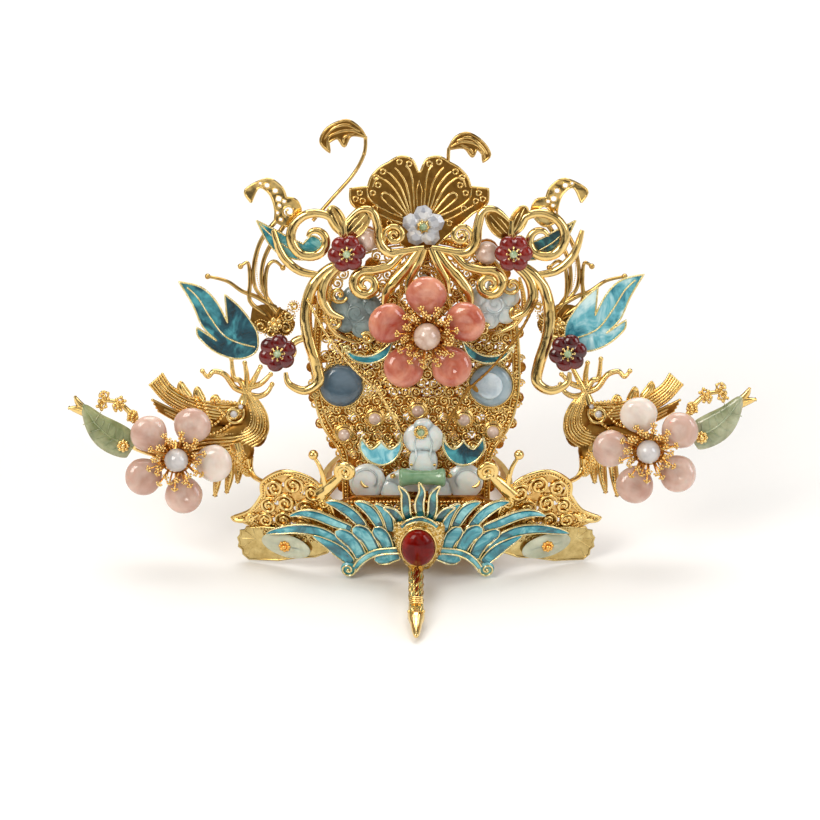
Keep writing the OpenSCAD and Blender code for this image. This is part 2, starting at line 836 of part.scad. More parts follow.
module crescent(side) {
  color(ENAMEL)
    face(crescent_w)
      hand(side, drop_shift)
        plate(sheet)
          polygon(corners(crescent_edge, 4));
}

ribbon_edge = [[[25.6, 56], [21.4, 53], [16.8, 52.6], [12.4, 55], [10, 57.6]], [[10, 57.6], [12, 52.6],
  [17, 50.4], [22, 51.6], [25.6, 56]]];

module ribbon(side) {
  color(ENAMEL)
    hand(side, scroll_shift) {
      face(ribbon_w)
        plate(0.8)
          polygon(corners(ribbon_edge, 4));
      face(seat)
        translate([ribbon_post.x, ribbon_post.y, 0])
          cylinder(r = 0.8, h = ribbon_w - seat + 0.4);
    }
}

// Clouds: upright scrolled plates on each side of the gallery, with a feeler and a shell

// Edge of a cloud: [distance out from the hinge, height]
cloud_edge = [[[0, 12], [-0.6, 20], [1.5, 24.4], [4.4, 29.4], [9.6, 31.6], [15.4, 31.4], [20.8, 27],
  [21, 22.6]], [[21, 22.6], [24.4, 17], [30, 13.6]],
  [[30, 13.6], [24.6, 12], [21, 10.6], [10, 11.4], [0, 12]]];
cloud_holes = [[6, 26.6, 1.6], [11.6, 27.6, 1.9], [16.6, 25.4, 1.7], [8, 20.8, 1.5], [13.4, 21, 1.5],
  [17.6, 17.4, 1.4], [12, 15.6, 1.4], [5, 16, 1.4]];
feeler_rows = [[1.4, 28.6], [3, 34.2], [5.2, 38.6]];

module cloud(side) {
  color(GOLD)
    hand(side)
      upright(cloud_f, hinge_x, cloud_turn)
        translate([0, 0, -sheet])
          linear_extrude(height = sheet)
            difference() {
              offset(r = 0.1, $fn = 8) {
                polygon(corners(cloud_edge, 4));
                flat_wire(smooth(feeler_rows, 4), 2.2, 1.1, 1.5);
                strip(coil([-4.4, 34.4], 3, 0.9, -50, 500, 24), 1.6, 1);
                strip([[-2.8, 32.4], [3.4, 25.4]], 2.2, 3);
              }
              for (h = cloud_holes)
                translate([h.x, h.y])
                  circle(r = h.z, $fn = 12);
            }
}

// Foot leaves: scalloped gold plates with a pale jade leaf on each

foot_edge = [[[0.6, 4], [0.4, 9], [3, 11.6], [8, 12.6], [16, 12.8], [24, 11.8]], [[24, 11.8], [27.4, 10],
  [28.2, 6.6], [27, 3.2], [25, 1]], [[25, 1], [16, 1.4], [8, 3], [0.6, 4]]];
foot_jade_edge = [[[6, 6], [9, 3.6], [14, 3.2], [18.6, 5], [20.6, 8.4]],
  [[20.6, 8.4], [17, 10.4], [12, 10.8], [8, 9.4], [6, 6]]];

module foot_leaf(side) {
  color(GOLD)
    hand(side)
      upright(foot_f, hinge_x, cloud_turn)
        translate([0, 0, -sheet])
          plate(sheet)
            polygon(corners(foot_edge, 4));
}

module foot_jade(side) {
  color(PALE_JADE)
    hand(side)
      upright(foot_f, hinge_x, cloud_turn)
        translate([0, 0, seat])
          plate(1.4)
            polygon(corners(foot_jade_edge, 4));
}

// Front bird: gold breast plate with a bezel, a long neck and head, and a bracket behind

plate_x = 0.9;
plate_t = 1.5;
breast_edge = [[[2.8, 6.4], [5.2, 10], [6.8, 14], [7.2, 18], [7.1, 22]], [[7.1, 22], [3.6, 23.6], [0, 24]]];
bezel_r = 5.8;
cabochon_x = 0.6;
cabochon_z = 13.8;
neck_start = [45, 6.3];
neck_len = 33.6;
neck_drop = 7.4;
// The neck and head, from the breast to the beak: [distance along, radius]
neck_rows = [[0, 2.3], [6, 2.2], [13, 2.1], [17.6, 2.3], [21.2, 2.8], [24.4, 2.6], [27.4, 1.9],
  [30.6, 1.2], [33.6, 0.5]];

module phoenix() {
  half = corners(breast_edge, 4);
  color(GOLD) {
    upright(plate_f, plate_x) {
      linear_extrude(height = plate_t)
        polygon(concat(half, [for (p = turned_round(half)) [-p.x, p.y]]));
      translate([cabochon_x - plate_x, cabochon_z, 0])
        difference() {
          cylinder(r = bezel_r, h = plate_t + 1.4);
          translate([0, 0, plate_t])
            cylinder(r = cabochon_w / 2 + seat, h = 3);
        }
      translate([0, 8.4, gallery_f + sheet + seat - plate_f])
        cylinder(r = 2, h = plate_f - gallery_f - sheet - seat + 0.5);
    }
    translate([0, -neck_start.x, neck_start.y])
      rotate([90 + neck_drop, 0, 0])
        rotate_extrude()
          polygon(concat([[0, 0]], [for (row = neck_rows) [row.y, row.x]], [[0, neck_len]]));
  }
}

girdle = 1;
dome_sink = 1.6;

module cabochon() {
  half = cabochon_w / 2;
  dome_r = norm([half, dome_sink]);
  start = asin(dome_sink / dome_r);
  color(RED)
    upright(plate_f + plate_t + seat, cabochon_x)
      translate([0, cabochon_z, 0])
        rotate_extrude()
          polygon(concat([[0, 0], [half, 0]],
            [for (k = [0 : 8]) let (a = start + (90 - start) * k / 8)
              [dome_r * cos(a), girdle - dome_sink + dome_r * sin(a)]]));
}

// Flame: enamel crest of five prongs behind the breast plate
flame_prongs = [[[0, 22], [-0.9, 27], [0.8, 31], [0, 34.6]], [[4, 21.4], [4.8, 26], [4.4, 30], [6.4, 33.2]],
  [[6, 19.6], [8, 23], [9.6, 24.6], [11.4, 26.8]]];

module flame() {
  color(ENAMEL)
    upright(flame_f, plate_x)
      plate(1.1)
        for (way = [-1, 1]) {
          for (rows = flame_prongs)
            feather([for (p = rows) [way * p.x, p.y]], 3);
          strip([for (p = coil([0, 16], 6, 6, 20, 90, 8)) [way * p.x, p.y]], 3.2, 3.2);
        }
}

// Wings: enamel feathers in gold cells, swept back from the breast

// Feathers: [width, places from root to tip]
wing_feathers = [
  [4.2, [[19, 6], [23, 12.4], [29, 15.9], [36, 15.7], [44.6, 12]]],
  [3.4, [[19.6, 5.4], [23, 9.2], [28.6, 11.6]]],
  [4.4, [[15.4, 12.4], [19, 17.4], [24.4, 20.8], [30.2, 21.4], [37.4, 19.5]]],
  [4.4, [[12, 14], [15.4, 19], [20.6, 22.8], [26.8, 24.8]]],
  [4, [[8.6, 15], [11.4, 20.6], [18, 25.7]]],
  [3.4, [[5.6, 15], [7.8, 20], [12, 25.4]]],
  [3.6, [[6, 10.4], [12, 10], [17, 6.6], [19.6, 3.6]]]
];
wing_coverts = [[5, 8.6], [5, 17], [10, 18.6], [15, 18], [19.4, 13.4], [21, 6], [18, 5], [13, 6.4],
  [8.6, 7]];

module wing(side) {
  color(ENAMEL)
    hand(side, 0.4)
      upright(wing_f, wing_root_x, wing_turn)
        translate([-wing_root_x, 0, -sheet])
          plate(sheet) {
            for (f = wing_feathers)
              feather(f[1], f[0], 4);
            polygon(wing_coverts);
            translate([19.5, 3.7])
              circle(r = 2.4, $fn = 20);
          }
}

base_ring();
back_stay();
panel();
gallery();
agate_disc(LEFT);  // disc_left
agate_disc(RIGHT);  // disc_right
cloud_jade(LEFT);  // cloud_jade_left
cloud_jade(RIGHT);  // cloud_jade_right
arch_pearls();
jade_ruyi();
jade_bar();
color(CORAL) flower_petals(centre_flower, petals_w, petal_r, petal_t);  // centre_petals
flower_pearl(centre_flower, petals_w, pearl_r, PEACH);  // centre_pearl
color(GOLD) calyx(centre_flower, petals_w, pearl_r, petal_t, seat);  // centre_calyx
color(ROSE) flower_petals(left_flower, side_petals_w, side_petal_r, side_petals_t);  // left_petals
color(ROSE) flower_petals(right_flower, side_petals_w, side_petal_r, side_petals_t);  // right_petals
flower_pearl(left_flower, side_petals_w, side_pearl_r, PEARL);  // left_pearl
flower_pearl(right_flower, side_petals_w, side_pearl_r, PEARL);  // right_pearl
side_calyx(LEFT, left_flower);  // left_calyx
side_calyx(RIGHT, right_flower);  // right_calyx
crystal_flower();
red_flower(top_red_shift - top_red.x, top_red.y, flower_w);  // red_flower_top_left
red_flower(top_red_shift + top_red.x, top_red.y, flower_w);  // red_flower_top_right
red_flower(low_flower_shift - low_red.x, low_red.y, flower_w);  // red_flower_low_left
red_flower(low_flower_shift + low_red.x, low_red.y, flower_w);  // red_flower_low_right
peach_pearl(0);  // peach_pearl_left
peach_pearl(1);  // peach_pearl_right
fan();
scroll(LEFT);  // scroll_left
scroll(RIGHT);  // scroll_right
horn(LEFT);  // horn_left
horn(RIGHT);  // horn_right
curl(leaf_w, LEFT, left_curl_stem, left_curl_leaf);  // curl_left
curl(-sheet - seat, RIGHT, right_curl_stem, right_curl_leaf);  // curl_right
leaf(LEFT, big_leaf_edge);  // big_leaf_left
leaf(RIGHT, big_leaf_edge, right_leaf_slide);  // big_leaf_right
leaf(LEFT, small_leaf_edge);  // small_leaf_left
leaf(RIGHT, small_leaf_edge);  // small_leaf_right
bird(LEFT);  // bird_left
bird(RIGHT);  // bird_right
jade_leaf(LEFT, left_flower);  // jade_leaf_left
jade_leaf(RIGHT, right_flower);  // jade_leaf_right
crescent(LEFT);  // crescent_left
crescent(RIGHT);  // crescent_right
tendril(LEFT);  // tendril_left
tendril(RIGHT);  // tendril_right
ribbon(LEFT);  // ribbon_left
ribbon(RIGHT);  // ribbon_right
cloud(LEFT);  // cloud_left
cloud(RIGHT);  // cloud_right
foot_leaf(LEFT);  // foot_leaf_left
foot_leaf(RIGHT);  // foot_leaf_right
foot_jade(LEFT);  // foot_jade_left
foot_jade(RIGHT);  // foot_jade_right
phoenix();
cabochon();
flame();
wing(LEFT);  // wing_left
wing(RIGHT);  // wing_right
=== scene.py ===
# Hair crown: gilt openwork with enamel wings and leaves, stone flowers, pearls and two birds.
# Sizes are millimetres on the crown's drawing planes, and turn to metres when a piece is set in place.
from math import cos, pi, radians, sin, sqrt
import bmesh
import bpy
from mathutils import Matrix, Vector


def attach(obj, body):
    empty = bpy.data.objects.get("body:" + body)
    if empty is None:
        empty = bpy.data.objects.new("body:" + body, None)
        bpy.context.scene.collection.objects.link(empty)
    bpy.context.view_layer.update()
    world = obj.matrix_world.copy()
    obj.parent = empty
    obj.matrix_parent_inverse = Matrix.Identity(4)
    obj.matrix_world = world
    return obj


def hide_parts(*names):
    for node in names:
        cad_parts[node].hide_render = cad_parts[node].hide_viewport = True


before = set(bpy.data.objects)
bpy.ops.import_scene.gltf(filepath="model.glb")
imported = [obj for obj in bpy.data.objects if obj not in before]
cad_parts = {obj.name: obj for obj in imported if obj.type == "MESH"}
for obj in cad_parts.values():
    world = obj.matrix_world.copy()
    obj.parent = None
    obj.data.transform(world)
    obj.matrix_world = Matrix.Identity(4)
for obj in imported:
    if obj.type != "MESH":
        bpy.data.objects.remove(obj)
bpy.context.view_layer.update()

# Table and light.
# A pale matt table top that curves up behind the crown, with two large soft boxes, a top light and
# a light over the far table, as used for photographing polished jewellery.


def linear(code):
    """The linear value of an sRGB hex colour."""
    parts = [int(code[i:i + 2], 16) / 255 for i in (1, 3, 5)]
    return [p / 12.92 if p <= 0.04045 else ((p + 0.055) / 1.055) ** 2.4 for p in parts] + [1]


def add(tree, kind, values=(), links=(), settings=()):
    """Adds a node with its socket values, what feeds its sockets, and its settings."""
    made = tree.nodes.new(kind)
    for name, value in dict(settings).items():
        setattr(made, name, value)
    for name, value in dict(values).items():
        made.inputs[name].default_value = value
    for name, source in dict(links).items():
        tree.links.new(source, made.inputs[name])
    return made


def finish(name, colour, roughness, metallic=0.0, **sockets):
    """A new material: its node tree and its shader, with the constant values set on the shader itself."""
    made = bpy.data.materials.new(name)
    made.use_nodes = True
    shader = made.node_tree.nodes["Principled BSDF"]
    shader.inputs["Base Color"].default_value = linear(colour)
    shader.inputs["Roughness"].default_value = roughness
    shader.inputs["Metallic"].default_value = metallic
    for key, value in sockets.items():
        shader.inputs[key.replace("_", " ").title().replace("Ior", "IOR")].default_value = value
    return made, made.node_tree, shader


scene = bpy.context.scene
scene.view_settings.view_transform = "Standard"

# Painted board, matt, with the faint tooth that a roller leaves.
table_paint, tree, shader = finish("matt_white_table_paint", "#f4f3f1", 0.75)
where = add(tree, "ShaderNodeTexCoord").outputs["Object"]
grain = add(tree, "ShaderNodeTexNoise", {"Scale": 900.0, "Detail": 3.0}, {"Vector": where})
tooth = add(tree, "ShaderNodeBump", {"Strength": 0.05, "Distance": 0.0002}, {"Height": grain.outputs["Fac"]})
tree.links.new(tooth.outputs["Normal"], shader.inputs["Normal"])

# The table in metres: half its width, its front edge, its depth, a step of its curve, its back's height
half_table, table_front, table_depth, curve_step, back_height = 16, -14.0, 24.0, 1.3, 8.5
table_mesh = bpy.data.meshes.new("table")
table_form = bmesh.new()
edge = [table_form.verts.new((x, table_front, 0)) for x in (-half_table, half_table)]
table_form.edges.new(edge)
along = table_form.edges[:]
curve_steps = [(0, curve_step * cos(radians(a)), curve_step * sin(radians(a))) for a in range(9, 90, 9)]
for step in [(0, table_depth, 0)] + curve_steps + [(0, 0, back_height)]:
    grown = bmesh.ops.extrude_edge_only(table_form, edges=along)["geom"]
    moved = [g for g in grown if isinstance(g, bmesh.types.BMVert)]
    along = [g for g in grown if isinstance(g, bmesh.types.BMEdge)]
    bmesh.ops.translate(table_form, verts=moved, vec=step)
bmesh.ops.recalc_face_normals(table_form, faces=table_form.faces)
table_form.to_mesh(table_mesh)
table_mesh.materials.append(table_paint)
table_mesh.shade_smooth()
table_top = bpy.data.objects.new("table_top", table_mesh)
scene.collection.objects.link(table_top)

# The room: soft bright panels with dark gaps between them, which is what polished metal mirrors.
world = bpy.data.worlds.new("studio")
world.use_nodes = True
tree, back = world.node_tree, world.node_tree.nodes["Background"]
ways = add(tree, "ShaderNodeTexCoord")
room = add(tree, "ShaderNodeTexNoise", {"Scale": 2.6, "Detail": 1.0}, {"Vector": ways.outputs["Generated"]})
panels = add(tree, "ShaderNodeValToRGB", links={"Fac": room.outputs["Fac"]})
for stop, place, colour in zip(panels.color_ramp.elements, (0.42, 0.56), ("#18130b", "#fffaf2")):
    stop.position, stop.color = place, linear(colour)
tree.links.new(panels.outputs["Color"], back.inputs["Color"])
back.inputs["Strength"].default_value = 0.7
scene.world = world

# Lights: [name, place, aim, width, depth, watts, colour]
for name, place, aim, wide, deep, watts, colour in [
    ["key_box", (-0.55, -0.55, 0.75), (0, 0, 0.06), 0.5, 0.5, 5, "#fffaf2"],
    ["fill_box", (0.75, -0.35, 0.5), (0, 0, 0.06), 0.35, 0.6, 2.4, "#f6f8ff"],
    ["top_box", (0.0, 0.25, 0.95), (0, 0, 0.05), 0.7, 0.5, 3.4, "#ffffff"],
    ["table_glow", (0.0, 1.0, 1.6), (0, 0.6, 0), 1.6, 1.2, 12, "#ffffff"],
]:
    lamp = bpy.data.lights.new(name, "AREA")
    lamp.shape, lamp.size, lamp.size_y, lamp.energy = "RECTANGLE", wide, deep, watts
    lamp.color = linear(colour)[:3]
    box = bpy.data.objects.new(name, lamp)
    box.location = place
    box.rotation_euler = (Vector(aim) - Vector(place)).to_track_quat("-Z", "Y").to_euler()
    scene.collection.objects.link(box)

# The photograph looks down 30 degrees with a long lens, and takes in 241 mm at the crown. The crown's
# origin lies 1.8 mm right of the picture's middle and 28.9 mm below it.
tilt = radians(30)
reach = 9.0
seen_width = 0.2412
right, low = 0.0018, 0.0289
lens = bpy.data.cameras.new("long_lens")
lens.sensor_width = 36
lens.lens = lens.sensor_width * reach / seen_width
lens.clip_end = 50
camera = bpy.data.objects.new("camera", lens)
camera.location = (-right, -reach * cos(tilt) + low * sin(tilt), reach * sin(tilt) + low * cos(tilt))
camera.rotation_euler = (pi / 2 - tilt, 0, 0)
scene.collection.objects.link(camera)
scene.camera = camera

# Scrolls.
# Two bent wires of half-round gold in front of the panel, mirror images, that start at one knot under
# the crystal flower. Brass, bent over pegs, soldered, gilded in a bath and polished.


def smooth_run(rows, n=6):
    """A smooth curve through rows of numbers, with n steps from each row to the next."""
    rows = [Vector(row) for row in rows]
    found = []
    for i in range(len(rows) - 1):
        a, b, c, d = rows[max(i - 1, 0)], rows[i], rows[i + 1], rows[min(i + 2, len(rows) - 1)]
        for t in [k / n for k in range(n)]:
            found.append((2 * b + (c - a) * t + (2 * a - 5 * b + 4 * c - d) * t ** 2
                          + (3 * b - a - 3 * c + d) * t ** 3) / 2)
    return found + [rows[-1]]


def flat_run(rows, n=6, w=0.0):
    """A smooth curve through places on a plane, lifted by w."""
    return smooth_run([(*row, w) for row in rows], n)


def coil(x, u, r0, r1, a0, a1, n):
    """Places on a spiral round x, u: its radius goes from r0 to r1 and its angle from a0 to a1."""
    turns = [(r0 + (r1 - r0) * k / n, radians(a0 + (a1 - a0) * k / n)) for k in range(n + 1)]
    return [(x + r * cos(a), u + r * sin(a)) for r, a in turns]


def swell(places, start, middle, tip, w=0.0):
    """Gives places a wire radius that swells from start to middle and thins to tip, and lifts them by w."""
    last = len(places) - 1
    run = []
    for i, p in enumerate(places):
        t = i / last
        r = start * (1 - t) ** 2 + (4 * middle - start - tip) * t * (1 - t) + tip * t ** 2
        run.append((p[0], p[1], w + (p[2] if len(p) > 2 else 0), max(r, 0.1)))
    return run


def wires(form, runs, corners=8):
    """Adds wires to a form. Each run is a list of (x, u, w, radius)."""
    curve = bpy.data.curves.new("wire", "CURVE")
    curve.dimensions = "3D"
    curve.bevel_depth = 1.0
    curve.bevel_resolution = corners // 2 - 2
    curve.use_fill_caps = True
    for run in runs:
        spline = curve.splines.new("POLY")
        spline.points.add(len(run) - 1)
        for point, (x, u, w, r) in zip(spline.points, run):
            point.co, point.radius = (x, u, w, 1), r
    holder = bpy.data.objects.new("wire", curve)
    form.from_mesh(bpy.data.meshes.new_from_object(holder))
    bpy.data.objects.remove(holder)


def pin(form, x, u, low, high, r, corners=8):
    """Adds a straight pin between two heights."""
    wires(form, [[(x, u, low, r), (x, u, high, r)]], corners)


# Small balls of three finenesses, as places and corners, made once and copied for every bead
balls = {}
for rings in (1, 2, 3):
    ball = bmesh.new()
    bmesh.ops.create_icosphere(ball, subdivisions=rings, radius=1)
    balls[rings] = [v.co.copy() for v in ball.verts], [[v.index for v in f.verts] for f in ball.faces]
    ball.free()


def bead(form, place, size, rings=1, flat=1.0):
    """Adds one small ball to a form."""
    x, y, z = place
    places, faces = balls[rings]
    verts = [form.verts.new((x + size * p.x, y + size * p.y, z + size * flat * p.z)) for p in places]
    for corners in faces:
        form.faces.new([verts[k] for k in corners])


def set_piece(name, form, place, material, replaces=(), edging=None):
    """Turns a form, drawn in millimetres, into a piece in its place. Edging is its second material."""
    form.transform(place)
    if place.determinant() < 0:
        bmesh.ops.reverse_faces(form, faces=form.faces)
    mesh = bpy.data.meshes.new(name)
    form.to_mesh(mesh)
    form.free()
    for skin in [material] + [edging] * bool(edging):
        mesh.materials.append(skin)
    mesh.shade_smooth()
    piece = bpy.data.objects.new(name, mesh)
    scene.collection.objects.link(piece)
    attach(piece, "root")
    if replaces:
        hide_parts(*replaces)
    return piece


METRES = Matrix.Scale(0.001, 4)
LEFT, RIGHT = -1, 1
SIDES = {LEFT: "left", RIGHT: "right"}


def mirror(side):
    """Turns a drawing into the left or the right hand's."""
    return Matrix.Diagonal((side, 1, 1, 1))


def on_face(x=0.0, u=0.0, w=0.0, side=RIGHT):
    """Places a drawing on the leaning face of the crown; the left hand is drawn mirrored."""
    lean = Matrix.Translation((0, -28, 10)) @ Matrix.Rotation(radians(72), 4, "X")
    return METRES @ lean @ Matrix.Translation((x, u, w)) @ mirror(side)


# Polished: it mirrors the room, cream where it meets a soft box, deep brown where it meets the dark of
# the room, and orange where gold faces gold. A thin clear lacquer keeps its highlights white.
gilt, tree, shader = finish("polished_gilt_brass", "#f0c66c", 0.14, 1.0, coat_weight=0.3, coat_roughness=0.08)
where = add(tree, "ShaderNodeTexCoord").outputs["Object"]
cloud = add(tree, "ShaderNodeTexNoise", {"Scale": 150.0, "Detail": 2.0}, {"Vector": where})
tones = add(tree, "ShaderNodeMix", {6: linear("#e6ba5e"), 7: linear("#f9e09f")},
            {"Factor": cloud.outputs["Fac"]}, {"data_type": "RGBA"})
tree.links.new(tones.outputs[2], shader.inputs["Base Color"])
buff = add(tree, "ShaderNodeTexNoise", {"Scale": 1200.0, "Detail": 3.0}, {"Vector": where})
polish = add(tree, "ShaderNodeBump", {"Strength": 0.15, "Distance": 0.0001}, {"Height": buff.outputs["Fac"]})
# Bent and filed by hand, so the surface rolls a little every few millimetres
lumps = add(tree, "ShaderNodeTexNoise", {"Scale": 190.0, "Detail": 1.0}, {"Vector": where})
rolls = add(tree, "ShaderNodeBump", {"Strength": 1.0, "Distance": 0.0006},
            {"Height": lumps.outputs["Fac"], "Normal": polish.outputs["Normal"]})
tree.links.new(rolls.outputs["Normal"], shader.inputs["Normal"])

knot = (1, 84.5)
scroll_w = 5.7
scroll_shift = 3.4
# Strands: [radius at the knot, in the middle, at the tip, bent part, rolled part]
scroll_strands = [
    [0.8, 1.0, 0.6, [knot, (7, 83.2), (11, 79.4), (16, 77.9)], coil(18, 73.8, 4.2, 0.9, 85, -460, 34)],
    [0.8, 1.0, 0.5, [knot, (7, 83.5), (11.2, 83.2), (14, 86.2), (14.6, 91), (16.2, 95.6), (20, 96),
                     (24, 92.5)], []],
    [0.7, 1.0, 0.6, [(24.5, 88), (27, 91.6)], coil(33.6, 87.3, 8.3, 1.6, 128, -330, 40)],
    [0.5, 0.9, 0.8, [(45.2, 90), (42.6, 82.5), (37.5, 77.8), (31.5, 76.6)], []],
    [0.9, 1.2, 0.6, [(24, 80.5), (29, 78.4), (33.6, 73.5), (35.6, 66), (35, 58), (32.6, 50), (32, 44.6),
                     (36, 42), (40.6, 44), (41.6, 47.5)], []],
    [0.9, 1.1, 0.5, [(25, 80), (29.6, 75.5), (30.8, 70), (28.6, 65.6), (24.6, 63.6)], []],
    [0.9, 0.9, 0.5, [knot, (3, 79.8), (5.3, 75.5), (6.2, 71)], []],
    [0.8, 1.25, 0.5, [(2.4, 84.5), (6, 79), (9.6, 75), (12, 71.3), (12.8, 66)], []],
    [0.6, 0.8, 0.7, [(34.8, 58), (38.5, 57), (41.1, 54.2)], []],
    [0.8, 0.9, 0.8, [(24.6, 93), (24.6, 84), (26, 80)], []],
    [0.5, 0.6, 0.4, [(13.4, 86)], coil(9.8, 88.4, 3.2, 0.5, -20, 560, 34)],
]
for side, hand in SIDES.items():
    form = bmesh.new()
    wires(form, [swell(smooth_run(bent) + [Vector(p) for p in rolled], 1.3 * a, 1.5 * b, c)
                 for a, b, c, bent, rolled in scroll_strands], 10)
    bmesh.ops.scale(form, verts=form.verts, vec=(1, 1, 0.7))
    # Flat cups under the red flowers, and two pins into the panel
    for x, u, size in [(24.6, 84, 2.4), (41.1, 53.8, 2.8)]:
        bead(form, (x, u, -0.2), size, 3, 0.22)
    for x, u in [(16, 78.2), (2.6, 81.3)]:
        pin(form, x, u, 0.3 - scroll_w, 0.2, 1.1)
    set_piece(f"scroll_wires_{hand}", form, on_face(scroll_shift, 0, scroll_w, side), gilt,
              [f"scroll_{hand}"])

# Stone flowers.
# One flower of coral-coloured strawberry quartz in the middle and two of rose quartz at the sides. Each
# petal is a cut, tumbled and polished cup-shaped stone, glued on the arm of a gilt calyx.


def stone(name, deep, pale, vein, inside, roughness=0.08, depth=2.0, coat=0.6):
    """A polished stone: two colours in clouds of vein millimetres, lit to a depth in millimetres."""
    made, tree, shader = finish(name, pale, roughness, coat_weight=coat, coat_roughness=0.04,
                                subsurface_weight=inside, subsurface_radius=(1.0, 0.6, 0.5),
                                subsurface_scale=depth / 1000)
    where = add(tree, "ShaderNodeTexCoord").outputs["Object"]
    veins = add(tree, "ShaderNodeTexNoise",
                {"Scale": 1000 / vein, "Detail": 4.0, "Roughness": 0.58, "Distortion": 0.5},
                {"Vector": where})
    spread = add(tree, "ShaderNodeMapRange", {"From Min": 0.34, "From Max": 0.66},
                 {"Value": veins.outputs["Fac"]})
    tones = add(tree, "ShaderNodeMix", {6: linear(deep), 7: linear(pale)},
                {"Factor": spread.outputs["Result"]}, {"data_type": "RGBA"})
    tree.links.new(tones.outputs[2], shader.inputs["Base Color"])
    waves = add(tree, "ShaderNodeTexNoise", {"Scale": 260.0, "Detail": 1.0}, {"Vector": where})
    dents = add(tree, "ShaderNodeBump", {"Strength": 0.12, "Distance": 0.0006},
                {"Height": waves.outputs["Fac"]})
    tree.links.new(dents.outputs["Normal"], shader.inputs["Normal"])
    return made


# Cloudy crystal with hair-fine red threads, so it looks lit from inside.
strawberry_quartz = stone("polished_strawberry_quartz", "#ae4935", "#dc9a7e", 9.0, 0.6, 0.05, 2.6)
# The side flowers are paler, and one petal of each is milky.
rose_quartz = stone("polished_rose_quartz", "#bf9888", "#dfc8bb", 11.0, 0.75, 0.06, 3.0)
milky_quartz = stone("milky_rose_quartz", "#d6c5b8", "#efe6dd", 11.0, 0.75, 0.06, 3.0)
# Nacre: satin, with a faint rosy cast that lies in large patches.
freshwater_pearl = stone("freshwater_pearl", "#b0adae", "#d5d1d0", 5.0, 0.1, 0.1, 1.0, 1.0)
peach_pearl_nacre = stone("peach_freshwater_pearl", "#b9937f", "#e3cdbd", 5.0, 0.1, 0.1, 1.0, 1.0)
# Fine gilt wire deep among stones, painted more orange than the rest: a painted reflection of the stones'
# colour.
warm_gilt, tree, shader = finish("gilt_stamen_wire", "#f6bf68", 0.2, 1.0)

# Each petal leans outward, and is dimpled in its middle by this part of its half thickness
petal_lean, dimple_depth, dimple_size = 12, 0.36, 0.36
# Flowers: x, u, height of the petals, angle of the first petal, ring radius, petal radius and half
# thickness, pearl radius, stamens
flowers = {
    "centre": [3.2, 59.8, 11.0, 91, 11.7, 6.1, 3.1, 4.0, 34],
    "left": [-70.2, 22, 7.5, 65, 10.9, 5.6, 3.0, 3.5, 30],
    "right": [68, 24.5, 7.5, 33, 10.9, 5.6, 3.0, 3.5, 30],
}


def dress(name, material):
    """Gives a solid of the crown its real material."""
    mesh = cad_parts[name].data
    mesh.materials.clear()
    mesh.materials.append(material)


def star(form, place, aim, size):
    """Adds a stamen's star-shaped tip: five small balls round one, square to its wire."""
    across = aim.cross(Vector((0.3, 0.2, 1))).normalized()
    over = aim.cross(across)
    bead(form, place + aim * size * 0.5, size * 0.62)
    for k in range(5):
        a = k * 2 * pi / 5
        bead(form, place + (across * cos(a) + over * sin(a)) * size, size * 0.5)


